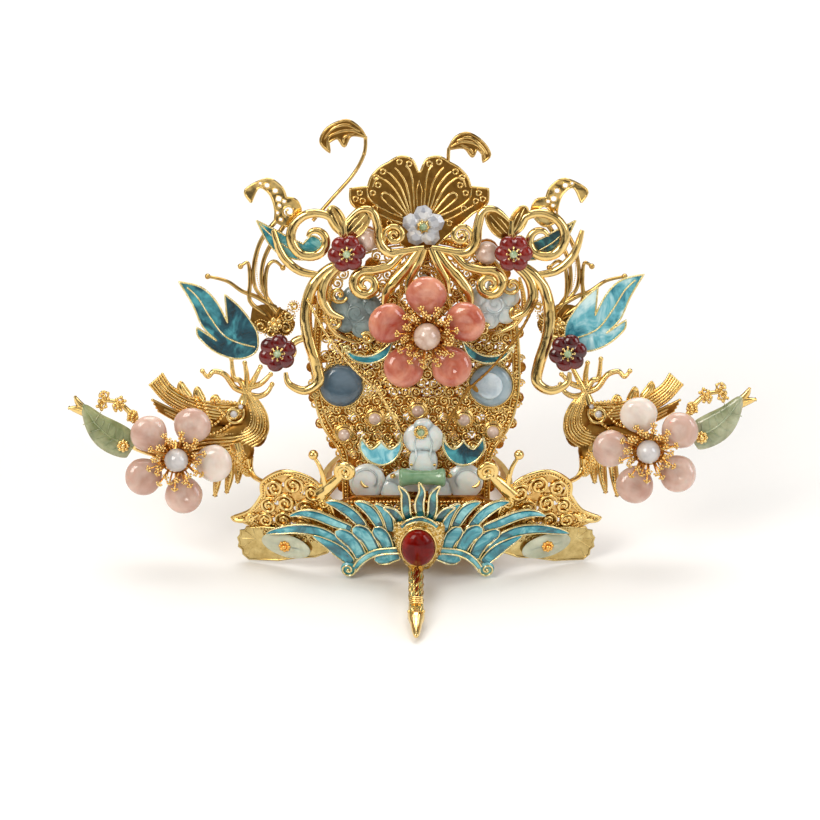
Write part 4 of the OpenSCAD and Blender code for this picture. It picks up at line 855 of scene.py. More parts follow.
# Enamel leaves.
# Three-lobed leaves behind the low red flowers and small ones behind the big scrolls: sheet with a milled
# wire round it, a beaded midrib and blue glass between.
deep_enamel = glass("deep_blue_glass_enamel", "#03252e", "#0c4b5b", "#4aa4b0", 8)
bright_enamel = glass("bright_blue_glass_enamel", "#1a7489", "#69b9c8", "#d8f3f4", 7)
leaf_w = 3.2
big_leaf = outline([[(69.4, 74.2), (63, 72.6), (58.6, 68.4), (55.2, 62)], [(55.2, 62), (56, 70.4)],
                    [(56, 70.4), (52, 67), (48.4, 62.4), (46.4, 58.2), (47, 53.2), (52.2, 51.2),
                     (58.6, 53.2), (63.6, 57.6), (64.2, 60.6)],
                    [(64.2, 60.6), (58.4, 56.6)], [(58.4, 56.6), (62.6, 61), (65.4, 67.4), (69.4, 74.2)]])
small_leaf = outline([[(46.6, 92.4), (41, 89.6), (37.5, 87.6), (33, 85.5)],
                      [(33, 85.5), (30.6, 87.9), (28, 86.6), (27.6, 83.6), (29.6, 81.5), (34, 80.8),
                       (40, 82.6), (43.6, 86.4), (46.6, 92.4)]])
leaf_enamels = {("big", LEFT): deep_enamel, ("big", RIGHT): bright_enamel,
                ("small", LEFT): blue_enamel, ("small", RIGHT): teal_enamel}
# The right big leaf lies a little lower and further in than the mirrored left one
big_slide = (-2.8, 2.2)
midrib = [(47.4, 54.8), (52, 56), (56.4, 58.4), (60.4, 63.8), (63.8, 69.4), (67, 72.6)]
for side, hand in SIDES.items():
    slide = big_slide if side == RIGHT else (0, 0)
    for name, edge, veins in [("big", big_leaf, [midrib]),
                              ("small", small_leaf, [[(34, 82.6), (40, 86), (45.6, 91.4)]])]:
        form, walls = bmesh.new(), bmesh.new()
        cut(form, [edge], 0.9, leaf_w)
        wires(walls, [rim(edge, 0.3, lift=leaf_w + 0.8)], 6)
        bead_row(walls, [(p.x, p.y, leaf_w + 1.0) for p in edge + edge[:1]], 0.34, 0.72)
        for rows in veins:
            path = flat_run(rows, 6, leaf_w + 0.95)
            wires(walls, [[(*p, 0.24) for p in path]], 6)
            bead_row(walls, [p + Vector((0, 0, 0.1)) for p in path], 0.32, 0.72)
        at = on_face(*slide) @ mirror(side) if name == "big" else on_face(side=side)
        shade = leaf_enamels[name, side]
        set_piece(f"{name}_leaf_enamel_{hand}", form, at, shade, [f"{name}_leaf_{hand}"])
        set_piece(f"{name}_leaf_walls_{hand}", walls, at, wall_gilt, [f"{name}_leaf_{hand}"])

# Red flowers.
# Four carved red agates with six round lobes, each held by eight gold prongs round a small green bead.
green_bead = stone("green_chrysoprase_bead", "#7d9a6c", "#c2cfae", 1.5, 0.3, 0.12, 0.6)
flower_w = 6.7
wine_agate = stone("dark_wine_red_agate", "#3a0505", "#701210", 6.0, 0.15, 0.06, 1.2)
blood_agate = stone("dark_blood_red_agate", "#5c0a09", "#8d1f16", 6.0, 0.15, 0.06, 1.2)
red_places = {"top_left": (-20.3, 83.5, 8), "top_right": (28.5, 83.5, 0), "low_left": (-40.6, 53.8, 20),
              "low_right": (44.4, 53.8, 12)}
for name, (x, u, first) in red_places.items():
    form, metal, middle = bmesh.new(), bmesh.new(), bmesh.new()
    for k in range(6):
        a = radians(first + k * 60)
        lobe(form, (3.15 * cos(a), 3.15 * sin(a), 1.4), (2.55, 2.6, 1.5), first + k * 60, 24, 14)
    turned(form, [(0.2, 4.2), (1.9, 3.9), (2.5, 1.4)], 24)
    bmesh.ops.create_uvsphere(middle, u_segments=16, v_segments=10, radius=1.25,
                              matrix=Matrix.Translation((0, 0, 2.5)))
    for k in range(8):
        a = k * pi / 4
        wires(metal, [[(1.9 * cos(a), 1.9 * sin(a), 2.0, 0.3), (1.7 * cos(a), 1.7 * sin(a), 2.9, 0.3),
                       (1.1 * cos(a), 1.1 * sin(a), 3.2, 0.26)]], 6)
        bead(metal, (1.95 * cos(a), 1.95 * sin(a), 2.5), 0.46, 2)
    set_piece(f"red_lobes_{name}", form, on_face(x, u, flower_w),
              blood_agate if "top" in name else wine_agate, [f"red_flower_{name}"])
    set_piece(f"red_prongs_{name}", metal, on_face(x, u, flower_w), gilt, [f"red_flower_{name}"])
    set_piece(f"red_middle_{name}", middle, on_face(x, u, flower_w), green_bead,
              [f"red_flower_{name}"])
dress("peach_pearl_left", peach_pearl_nacre)
dress("peach_pearl_right", peach_pearl_nacre)

# Crystal flower.
# Five faceted drops of rock crystal round a green bead in gold prongs, riveted on the foot of the fan.
crystal, tree, shader = finish("cut_rock_crystal", "#f4f7fb", 0.02, 0.0, transmission_weight=0.3, ior=1.9)
where = add(tree, "ShaderNodeTexCoord").outputs["Object"]
# Each facet is painted white or a cool grey: a painted reflection of another part of the room.
facet = add(tree, "ShaderNodeTexVoronoi", {"Scale": 620.0}, {"Vector": where})
tone = add(tree, "ShaderNodeSeparateColor", links={"Color": facet.outputs["Color"]})
facet_reflection_paint = add(tree, "ShaderNodeMix", {6: linear("#b0b5c2"), 7: linear("#ffffff")},
           {"Factor": tone.outputs["Red"]}, {"data_type": "RGBA"})
tree.links.new(facet_reflection_paint.outputs[2], shader.inputs["Base Color"])
form, metal = bmesh.new(), bmesh.new()
for k in range(5):
    at = Matrix.Rotation(radians(90 + 72 * k), 4, "Z") @ Matrix.Translation((3.6, 0, 1.0))
    bmesh.ops.create_cone(form, cap_ends=True, segments=7, radius1=2.2, radius2=2.85, depth=0.8,
                          matrix=at @ Matrix.Translation((0, 0, -0.6)))
    bmesh.ops.create_cone(form, cap_ends=True, segments=7, radius1=2.85, radius2=1.3, depth=1.1,
                          matrix=at @ Matrix.Translation((0, 0, 0.4)))
for k in range(7):
    a = k * 2 * pi / 7
    wires(metal, [[(2 * cos(a), 2 * sin(a), 1.2, 0.28), (1.7 * cos(a), 1.7 * sin(a), 2.1, 0.26),
                   (1.2 * cos(a), 1.2 * sin(a), 2.35, 0.24)]], 6)
turned(metal, [(0, 2.0), (1.4, 1.8)], 20)
middle = bmesh.new()
bmesh.ops.create_uvsphere(middle, u_segments=16, v_segments=10, radius=1.3,
                          matrix=Matrix.Translation((0, 0, 1.1)))
crystal_place = on_face(2.1, 90.6, 2.3)
facets = set_piece("crystal_drops", form, crystal_place, crystal, ["crystal_flower"])
facets.data.shade_flat()
set_piece("crystal_prongs", metal, crystal_place, gilt, ["crystal_flower"])
set_piece("crystal_middle", middle, crystal_place, green_bead, ["crystal_flower"])

# Panel and gallery.
# The openwork plate that carries the stones, and the pierced band under it: gilt sheet covered with small
# scrolls of flat wire, grains and rings, with a milled wire round the edge.
# The sheet seen between the scrolls is painted a deep orange brown: painted shade under the raised wire, with
# a painted reflection of gold facing gold.
orange_recess_shade_gilt = gold("gilt_sheet_between_scrolls", "#8a430c", "#eda94a", 0.26, 0.6, 1.6, 0.15, "satin")
panel_rows = [(21.5, -0.2), (21.5, 12), (22.5, 22), (28, 31), (30.5, 43), (30, 58), (28, 72), (21, 82),
              (10, 86.5), (0, 87.5)]
panel_half = flat_run(panel_rows, 4)
panel_edge = panel_half + [Vector((-p.x, p.y, 0)) for p in reversed(panel_half)]
panel_middle = Vector((0, 44, 0))
disc_x, disc_u = 21.9, 42.6
# Stones that lie on the panel: [x, u, clear radius]
covered = [(disc_x, disc_u, 6), (-disc_x, disc_u, 6), (*flowers["centre"][:2], 5)]


def half_width(u):
    """Half the panel's width at a height."""
    for low, high in zip(panel_half, panel_half[1:]):
        if low.y <= u <= high.y:
            return low.x + (high.x - low.x) * (u - low.y) / (high.y - low.y)
    return 0


form = bmesh.new()
first_u, pitch, row_step, size = 2.6, 3.3, 0.82, 1.5
curls_on_panel, curls_behind = [], []
for row in range(30):
    u = first_u + row * pitch * row_step
    for k in range(-10, 11):
        x = (k + row % 2 / 2) * pitch
        if abs(x) > half_width(u) - 2.6 or any((x - a) ** 2 + (u - b) ** 2 < r * r for a, b, r in covered):
            continue
        # The field under the cloud jades stays plain
        if u > 59 and abs(x - 2) > 15 and abs(x) < half_width(u) - 6:
            continue
        way, first = (1 if (row + k) % 2 else -1), 97 * row + 61 * k
        run = coil(x, u, size + 0.15, 0.35, first, first + way * 560, 20)
        curls_on_panel.append([(*p, 0.3 + 0.35 * i / 20, 0.3) for i, p in enumerate(run)])
        if 36 < u < 58 and abs(x) < half_width(u) - 4:
            curls_behind.append([(q[0] + pitch / 2, q[1], -0.7, 0.42) for q in run])
        bead(form, (x, u, 0.6), 0.4)
        bead(form, (x + size, u + 0.7, 0.35), 0.42)
wires(form, curls_on_panel, 6)
wires(form, [rim([p.lerp(panel_middle, 0.012) for p in panel_edge], 0.5, lift=0.2)], 8)
wires(form, [rim([p.lerp(panel_middle, 0.07) for p in panel_edge], 0.34, lift=0.2)], 6)
bead_row(form, [(*p.lerp(panel_middle, 0.04)[:2], 0.3) for p in panel_edge], 0.5, 1.05)
for p in panel_half[8:-6:2]:
    for way in (-1, 1):
        wires(form, [[(*q, 0.1, 0.3) for q in coil(way * p.x, p.y, 1.3, 0.4, 0, 500, 16)]], 6)
# The little arch over the centre flower, with a clear stone in it
arch_x, arch_u = 2.2, 74
arch_turns = [radians(a) for a in range(-20, 201, 11)]
for r, size in [(4.6, 0.4), (3.4, 0.3)]:
    wires(form, [[(arch_x + r * cos(a), arch_u + r * sin(a), 2.2, size) for a in arch_turns]], 8)
for way in (-1, 1):
    pin(form, arch_x + 4 * way, arch_u - 1, 0, 2.2, 0.5)
bead_row(form, [(arch_x + 4 * cos(a), arch_u + 4 * sin(a), 2.6) for a in arch_turns], 0.34, 0.8)
# Four stems between the arch and the petals
for x in (-9.6, -5, 9.6, 14):
    path = smooth_run([(x * 0.55 + 1, 79, 1), (x * 0.8, 74, 1.2), (x, 68, 1), (x * 1.15, 62, 0.6)])
    wires(form, [[(*p, 0.5) for p in path]], 8)
    bead_row(form, [(p.x, p.y, p.z + 0.5) for p in path], 0.3, 0.8)
set_piece("panel_filigree", form, on_face(), gilt)
form = bmesh.new()
bmesh.ops.create_uvsphere(form, u_segments=16, v_segments=10, radius=1.5,
                          matrix=Matrix.Translation((arch_x, arch_u + 0.6, 2.0)))
set_piece("arch_crystal", form, on_face(), crystal)
dress("panel", orange_recess_shade_gilt)
# The scrolls behind the openwork take the same darker sheet colour, as painted shade.
form = bmesh.new()
wires(form, curls_behind, 6)
set_piece("panel_filigree_back", form, on_face(), orange_recess_shade_gilt)

form = bmesh.new()
for row in range(4):
    for k in range(-7, 8):
        x, z = (k + row % 2 / 2) * 3.3, 8.4 + row * 4.1
        if abs(x) < 23:
            run = coil(x, z, 1.7, 0.4, 120 * k, 120 * k + (520 if k % 2 else -520), 18)
            wires(form, [[(*p, 0.3, 0.3) for p in run]], 6)
            bead(form, (x, z, 0.5), 0.45)
for z in (7.4, 23):
    bead_row(form, [(-20, z, 0.3), (20, z, 0.3)], 0.5, 1.05)
set_piece("gallery_filigree", form, upright(35.5), gilt)
dress("gallery", orange_recess_shade_gilt)

# Round agates.
# Two turned agate discs in low bezels, the left one slate blue, the right one with a pale raised middle.
slate_agate = stone("slate_blue_agate", "#3c4d59", "#5e7485", 14.0, 0.15, 0.1, 1.0)
rim_agate = stone("grey_blue_agate", "#7f97a3", "#a9bcc4", 5.0, 0.3, 0.1, 1.5)
pale_agate = stone("pale_blue_agate", "#b9ccd6", "#dde8ee", 3.0, 0.4, 0.1, 2.0)
for side, shade in [(LEFT, slate_agate), (RIGHT, rim_agate)]:
    hand = SIDES[side]
    form = bmesh.new()
    turned(form, [(0, 5.6), (0.5, 6.2), (1.7, 6.2), (2.4, 5.8), (2.85, 5), (3.1, 3.6), (3.2, 1.8),
                  (3.22, 0.02)], 48)
    set_piece(f"agate_{hand}", form, on_face(disc_x * side, disc_u, 0.3), shade,
              [f"disc_{hand}"])
    form = bmesh.new()
    wires(form, [hoop(0, 0, 0.35, 6.5, 0.4, 48)], 8)
    bead_row(form, [(*p, 0.4) for p in coil(0, 0, 7.1, 7.1, 0, 360, 48)], 0.34, 0.8)
    for a in range(20, 380, 45):
        wires(form, [[(*p, 0.4, 0.3) for p in coil(8.2 * cos(radians(a)), 8.2 * sin(radians(a)), 1.4, 0.3,
                                                   a, a + 540, 18)]], 6)
    set_piece(f"agate_bezel_{hand}", form, on_face(disc_x * side, disc_u, 0), gilt)
form = bmesh.new()
turned(form, [(2.6, 4.0), (3.5, 3.9), (3.75, 3.4), (3.85, 2.0), (3.8, 0.02)], 40)
set_piece("agate_right_middle", form, on_face(21.4, 42.9, 0.3), pale_agate, ["disc_right"])

# Cloud jades.
# Two carved cloud-shaped jades, a dark grey-green one at the left and a pale one at the right, with a
# rolled line cut in each lobe.
dark_jade = stone("dark_grey_green_jade", "#647678", "#9badad", 5.0, 0.2, 0.08, 1.5)
pale_jade = stone("pale_translucent_jade", "#d3dcdc", "#f3f6f5", 7.0, 0.6, 0.1, 2.5)
cloud_lobes = [(0, 0, 4.4), (4.3, 2.6, 3.2), (1, 5.3, 3.2), (-4, 2.6, 3.1), (-1.5, -4, 3.2), (3.4, -2.6, 3)]
for side, shade, (jx, ju) in [(LEFT, dark_jade, (-17.4, 64)), (RIGHT, pale_jade, (22.8, 66.7))]:
    hand = SIDES[side]
    form = bmesh.new()
    for x, u, r in cloud_lobes:
        lobe(form, (x, u, 1.15), (r, r, 1.15 + r * 0.06))
    wires(form, [swell(coil(0.4, 0.6, 2.9, 0.5, 200, 720, 36), 0.3, 0.36, 0.3, 2.35)], 8)
    for x, u, r in cloud_lobes[1:]:
        wires(form, [swell(coil(x, u, r * 0.62, r * 0.5, -40, 170, 14), 0.15, 0.26, 0.15, 2.2)], 6)
    at = on_face(jx, ju, 0.3, side)
    set_piece(f"cloud_jade_carved_{hand}", form, at, shade,
              [f"cloud_jade_{hand}"])
    form = bmesh.new()
    for x, u, r, a, b in [(5.2, 6.2, 2.6, 200, 620), (6.6, -2.2, 2.0, 120, 560), (-3, -6.8, 1.8, 30, 480)]:
        wires(form, [swell(coil(x, u, r, 0.5, a, b, 24), 0.5, 0.7, 0.4, 2.9)], 8)
        bead(form, (x, u, 2.9), 0.6, 2)
    claw = smooth_run([(7.4, 8.6, 2.6), (8.6, 3, 2.7), (8.4, -2, 2.6), (5.4, -6, 2.6), (0, -8.4, 2.4)])
    wires(form, [swell(claw, 0.4, 0.9, 0.4)], 8)
    bead_row(form, smooth_run([(7.4, 8.6, 3.4), (8.6, 3, 3.5), (8.4, -2, 3.4), (5.4, -6, 3.4)]), 0.36, 0.8)
    set_piece(f"cloud_jade_claws_{hand}", form, at, gilt)

# Small pearls.
# Five freshwater pearls pegged in milled cups, on an arch over the jade.
pearl_places = [(-21.1, 28.2), (-12.1, 33), (0.5, 35.3), (14, 32.7), (22.5, 29.1)]
form = bmesh.new()
for x, u in pearl_places:
    wires(form, [hoop(x, u, 1.6, 2.35, 0.34)], 8)
    wires(form, [hoop(x, u, 3.3, 1.95, 0.32)], 6)
    wires(form, [hoop(x, u, 0.9, 2.5, 0.5)], 8)
    bead_row(form, [(*p, 0.8) for p in coil(x, u, 3.1, 3.1, 0, 360, 24)], 0.36, 0.8)
set_piece("pearl_cups", form, on_face(), gilt)
dress("arch_pearls", peach_pearl_nacre)

# Jade ruyi and bar.
# A plate of pale lavender jade carved as a ruyi head: two round ends with a rolled groove and a gold
# crescent, and a cap on a neck with a gold bead. A waisted green bar lies across it, pinned at both ends.
lavender_jade = stone("lavender_white_jade", "#e6e8e0", "#fbfbf8", 9.0, 0.7, 0.12, 3.5)
green_aventurine = stone("green_aventurine", "#66916a", "#98b794", 6.0, 0.35, 0.1, 2.0)
ruyi_w = 6.0
form, metal = bmesh.new(), bmesh.new()
for way in (-1, 1):
    lobe(form, (way * 14.3, 15.2, 1.2), (5.3, 5.3, 1.3), 0, 40, 20)
    lobe(form, (way * 7, 12.6, 1.2), (3.6, 3.5, 1.3))
    groove = coil(way * 14.3, 15.2, 4.6, 2.4, 90 - way * 100, 90 + way * 130, 24)
    wires(form, [swell(groove, 0.2, 0.34, 0.2, 2.1)], 8)
    bow = coil(way * 15.4 + 1.2, 15.5, 1.9, 1.7, 90 - way * 85, 90 - way * 190, 12)
    wires(metal, [swell(bow, 0.15, 0.5, 0.15, 2.5)], 8)
    pin(metal, way * 8.4 + 1.2, 17, 1.2, 3.4, 0.5)
    bead(metal, (way * 8.3 + 1.6, 17.3, 3.4), 0.75, 2)
    bead(metal, (way * 3.4 + 2, 20.4, 2.6), 0.5, 2)
for x, u, a, b in [(0, 15.6, 9, 3.6), (2.1, 21, 4.2, 5.4), (2.1, 28, 5.9, 5), (2.1, 31.8, 2.9, 2.3)]:
    lobe(form, (x, u, 1.2), (a, b, 1.3), 0, 40, 20)
for way in (-1, 1):
    fold = [(2.1 + way * x, u) for x, u in [(1, 31), (2.6, 27), (2, 23), (3.4, 19)]]
    wires(form, [swell(fold, 0.15, 0.3, 0.15, 2.4)], 6)
set_piece("ruyi_carved", form, on_face(0, 0, ruyi_w), lavender_jade, ["jade_ruyi"])
cup_x, cup_u = 1.4, 30.2
cup = turned(metal, [(1.9, 2.1), (2.7, 2.0), (3.0, 1.4), (3.0, 0.02)], 20)
bmesh.ops.translate(metal, verts=cup, vec=(cup_x, cup_u, 0))
bead_row(metal, [(*p, 2.9) for p in coil(cup_x, cup_u, 1.8, 1.8, 0, 360, 20)], 0.42, 0.9, 2)
set_piece("ruyi_pins", metal, on_face(0, 0, ruyi_w), gilt, ["jade_ruyi"])
form = bmesh.new()
bmesh.ops.create_uvsphere(form, u_segments=16, v_segments=10, radius=1.2,
                          matrix=Matrix.Translation((cup_x, cup_u, 3.1)))
set_piece("ruyi_bead", form, on_face(0, 0, ruyi_w), green_bead, ["jade_ruyi"])
form = bmesh.new()
turned(form, [(0, 2.0), (0.15, 2.35), (0.6, 2.75), (1.1, 2.8), (1.8, 2.55), (3, 2.3), (5, 2.15), (6.8, 2.1),
              (8.6, 2.15), (10.6, 2.3), (11.8, 2.55), (12.5, 2.8), (13, 2.75), (13.45, 2.35),
              (13.6, 2.0)], 36)
set_piece("bar_turned", form, on_face(-5, 17.3, 11.6) @ Matrix.Rotation(radians(90), 4, "Y"),
          green_aventurine, ["jade_bar"])

# Tendrils.
# Twisted wires that hang in front of the panel, each with a scrolled ribbon of blue enamel above and an
# enamel crescent with two wavy cusps at its end.
pale_enamel = glass("pale_cyan_glass_enamel", "#46a6be", "#8ad2e0", "#c8eff3", 4)
tendril_rows = [(33.4, 69.4, 7.7), (28.4, 60, 8.6), (20.6, 50, 9.4), (13.4, 43, 9.8), (9, 36, 9.8),
                (7, 31.6, 9.6)]
crescent = outline([[(6.3, 30), (7, 27), (9.4, 25.4), (12, 27.6)], [(12, 27.6), (15, 25.4), (17.8, 28.8)],
                    [(17.8, 28.8), (18.2, 25.4), (15.8, 22), (12, 20.6), (8.4, 22), (6.2, 25.6), (6.3, 30)]])
ribbon = outline([[(25.6, 56), (21.4, 53), (16.8, 52.6), (12.4, 55), (10, 57.6)],
                  [(10, 57.6), (12, 52.6), (17, 50.4), (22, 51.6), (25.6, 56)]])
# On the right, the side in shade, the twisted wire takes the brown gilt as painted shade, and the crescent
# and ribbon take darker enamels than on the left.
for side, shade, dusk, skin in [(LEFT, pale_enamel, blue_enamel, gilt),
                                (RIGHT, deep_enamel, teal_enamel, brown_and_shade_gilt)]:
    hand = SIDES[side]
    form = bmesh.new()
    path = smooth_run(tendril_rows, 6)
    for k in range(2):
        wires(form, [[(p.x + 0.32 * cos(1.9 * i + k * pi), p.y + 0.2 * cos(1.9 * i + k * pi),
                       p.z + 0.32 * sin(1.9 * i + k * pi), 0.36)
                      for i, p in enumerate(smooth_run(tendril_rows, 12))]], 6)
    for i in (17, 24):
        for way in (-1, 1):
            bud = (Matrix.Translation(path[i] + Vector((way * 1.0, -0.6, 0)))
                   @ Matrix.Rotation(way * 0.7, 4, "Z") @ Matrix.Diagonal((0.7, 1.5, 0.5, 1)))
            bmesh.ops.create_uvsphere(form, u_segments=12, v_segments=8, radius=1, matrix=bud)
    drop = on_face(1.8, 0, 0, side)
    set_piece(f"tendril_twist_{hand}", form, drop, skin, [f"tendril_{hand}"])
    for name, edge, w, thick, at, tint in [("crescent", crescent, 9.0, 0.9, drop, shade),
                                           ("ribbon", ribbon, 6.2, 0.6, on_face(3.4, 0, 0, side), dusk)]:
        form, walls = bmesh.new(), bmesh.new()
        cut(form, [edge], thick, w)
        wires(walls, [rim(edge, 0.38 if name == "crescent" else 0.3, lift=w + thick - 0.1)], 6)
        if name == "crescent":
            for x, u in [(12, 27.8), (9.6, 26.2), (15, 26.2)]:
                bead(walls, (x, u, w + thick), 0.55, 2)
        else:
            pin(walls, 17, 51.6, 0.3, w + 0.2, 0.7)
            wires(walls, [swell(coil(23.6, 54.4, 1.5, 0.3, -30, 400, 18), 0.3, 0.4, 0.25, w + 0.8)], 6)
        set_piece(f"{name}_enamel_{hand}", form, at, tint, [f"{name}_{hand}"])
        set_piece(f"{name}_walls_{hand}", walls, at, wall_gilt, [f"{name}_{hand}"])

# Birds.
# A cast and chased bird each side: a curved breast with feather lines, a ribbed wing with a squared end,
# beads along its shoulder, short hanging tail feathers and curled feelers. A wire rivets it to the cloud.


def strands(first, last, count, size, bulge, n=8):
    """Wires that run side by side from one guide line to another, raised in the middle of the bundle."""
    one, two = flat_run(first, n), flat_run(last, n)
    found = []
    for k in range(count):
        t = k / (count - 1)
        rise = bulge * sin(pi * (0.12 + 0.76 * t))
        found.append([(*a.lerp(b, t)[:2], rise * (0.55 + 0.45 * sin(pi * i / (len(one) - 1))), size)
                      for i, (a, b) in enumerate(zip(one, two))])
    return found


# Guide lines, from the neck or the shoulder outwards: [x, u]
neck_lines = [[(49.2, 41), (45.6, 37), (43.6, 32.6), (44, 27.6), (48.4, 24), (56, 22.4)],
              [(50.4, 41), (49.6, 36.6), (49, 32.6), (51, 29.6), (56, 29), (64, 28.6)]]
breast_lines = [[(49, 31.6), (51, 29.6), (56, 29), (62, 28.8), (68, 27.4)],
                [(48.4, 24), (52, 22.6), (57, 21.6), (62, 20.8), (68, 19.6)]]
wing_lines = [[(50.4, 37), (56, 37), (62, 37.6), (66.4, 39), (71.7, 42.2), (74.3, 45.8)],
              [(51.6, 32.4), (58, 31.6), (64, 33.2), (69.6, 35.3), (74, 38.2), (77.9, 42.6)]]
under_lines = [[(58, 32), (64, 32.6), (70, 34.4), (77.2, 37.8)],
               [(58, 29), (64, 29.6), (70, 31.6), (75.4, 34.6)]]
feelers = [[(49.8, 40.4), (53.1, 41.8), (56, 45.6), (59.2, 46.6), (61, 45), (62.6, 46.8)],
           [(50, 41), (51.6, 43.8), (53.4, 44.8), (54.1, 50.4)], [(50, 41), (49.6, 45), (50.2, 49.2)],
           [(49.4, 40.6), (47.4, 44.4), (45.6, 48)],
           [(49.2, 39.6), (46, 39.2), (43.6, 40.4), (42.2, 42.8)], [(48.4, 42), (45.4, 43), (42.6, 45.8)]]
tail_feathers = [[(51.2, 23), (51.8, 18), (52.4, 13)], [(54, 23), (54.6, 16), (55.6, 10)],
                 [(57, 23), (58, 16), (59, 9)]]
# Rounded parts of the body: [x, u, half length, half width, turn, half thickness]
bird_rounds = [(47.4, 31, 7.2, 4, 82, 1.5), (52.4, 26.8, 8.2, 4.6, -14, 1.6), (61, 26.4, 8, 4, -12, 1.3),
               (57.6, 34, 9, 3.4, 12, 1.4), (50.6, 24, 4.4, 3, 70, 1.4)]
for side, hand in SIDES.items():
    place = on_face(side=side)
    form = bmesh.new()
    for x, u, long, wide, turn, thick in bird_rounds:
        lobe(form, (x, u, 0), (long, wide, thick), turn, 24, 14)
    for first, last in (wing_lines, under_lines):
        one, two = [flat_run(rows, 5) for rows in (first, last)]
        cut(form, [one + two[::-1]], 1.3, -1.0)
    # The body under the strands is the brown gilt, so the gaps between strands show dark: painted shade.
    set_piece(f"bird_body_{hand}", form, place, brown_and_shade_gilt, [f"bird_{hand}"])
    form = bmesh.new()
    breast = strands(*neck_lines, 9, 0.4, 1.55) + strands(*breast_lines, 8, 0.4, 1.5)
    under = strands(*under_lines, 4, 0.44, 1.3)
    quills = strands(*wing_lines, 7, 0.44, 1.5)
    quills += [[(x, u, w - 1.0, r) for x, u, w, r in run] for run in under]
    wires(form, breast + quills, 6)
    for run in quills:
        bead(form, run[-1][:3], 0.5, 2)
    for run in quills[0:7:2]:
        bead_row(form, [(x, u, w + 0.3) for x, u, w, r in run[14:]], 0.32, 0.7)
    for run in breast[1::3]:
        bead_row(form, [(x, u, w + 0.25) for x, u, w, r in run], 0.36, 0.8)
    for rows in [[(52, 37.4), (56, 37.9), (60.4, 38.2)], [(62.4, 38), (61.4, 35), (60, 31.6)],
                 [(64.2, 38.4), (63.2, 35.4), (62, 32.6)], [(56.6, 33.6), (58.6, 31.4), (62, 30)],
                 [(54.6, 31.2), (57.4, 29.2), (61, 28)]]:
        bead_row(form, [(p.x, p.y, 1.75) for p in flat_run(rows)], 0.56, 1.1, 2)
    for rows in [[(62.6, 37.4), (63.8, 39.6), (64.1, 42)], [(66.4, 38.6), (68.4, 41), (69, 43.6)],
                 [(58.4, 37), (58.8, 38.2), (58.6, 39.6)]]:
        edge = blade(form, rows, 2.8, 0.5, 0.6, 0.9)
        wires(form, [rim(edge, 0.3), swell([(*p, 1.2) for p in rows], 0.3, 0.3, 0.1)], 6)
    for rows in tail_feathers:
        edge = blade(form, rows, 2.4, 0.0, 0.5, 0.9)
        wires(form, [rim(edge, 0.24)], 6)
        bead_row(form, [(x, u, 0.7) for x, u in rows], 0.36, 0.85)
    # The rolled shoulder with a pale bead in it, and the head that the neck ends in
    wires(form, [swell(coil(53.4, 34.2, 3.1, 0.7, 150, 640, 34), 0.35, 0.55, 0.35, 2.1)], 8)
    for k in range(9):
        bead(form, (58 - 0.62 * k, 36 - 0.85 * k + 0.06 * k * k, 2.1), 0.5, 2)
    wires(form, [swell([(50.8, 37), (49.8, 40), (49.6, 43)], 1.6, 1.2, 0.9)], 10)
    wires(form, [swell(flat_run(rows, 8, 0.3), 1.0, 0.85, 0.55) for rows in feelers], 8)
    for rows in feelers:
        path = flat_run(rows, 8, 1.1)
        bead_row(form, path, 0.3, 0.75)
        bead(form, path[-1] - Vector((0, 0, 0.6)), 0.8, 2)
    # The leg, grained all round, that runs into the arm
    leg = smooth_run([(53, 25.4, 0, 2.6), (52.1, 22.4, 0, 2.4), (51.4, 19.4, -0.1, 1.9),
                      (50, 17, -0.3, 1.2), (49, 15.6, -0.5, 0.8)])
    wires(form, [[tuple(p) for p in leg]], 10)
    for k in range(110):
        p = leg[4 + k * (len(leg) - 5) // 110]
        a = k * GOLDEN_TURN
        bead(form, (p[0] + p[3] * cos(a), p[1] - 0.4, p[2] + p[3] * abs(sin(a))), 0.42)
    set_piece(f"bird_chased_{hand}", form, place, gilt, [f"bird_{hand}"])
    form = bmesh.new()
    bead(form, (53.4, 34.2, 2.2), 1.1, 3)
    bead(form, (51.4, 36.4, 1.9), 0.7, 3)
    set_piece(f"bird_bead_{hand}", form, place, freshwater_pearl, [f"bird_{hand}"])
    # The arm in the ring's own frame: [x, y, z, radius]
    form = bmesh.new()
    arm = smooth_run([(49.2, -21.6, 30, 1.6), (48.8, -22, 26.4, 1.1), (47.2, -25, 25, 0.8),
                      (43.4, -29.4, 25.4, 0.7)])
    wires(form, [[tuple(p) for p in arm]], 10)
    set_piece(f"bird_arm_{hand}", form, METRES @ mirror(side), gilt, [f"bird_{hand}"])

# Jade leaves and branches.
# Behind each side flower a gold branch carries a leaf of green jade with cut veins, pinned by a gold rosette,
# a spray of small wire flowers above it and a pointed gold leaf past its tip.


def rosette(form, x, u, w, r, rise, middle):
    """Adds a rosette of gold grains: eight in a ring, and a larger one raised in the middle."""
    for k in range(8):
        a = k * pi / 4
        bead(form, (x + r * cos(a), u + r * sin(a), w), 0.62, 2)
    bead(form, (x, u, w + rise), middle, 2)


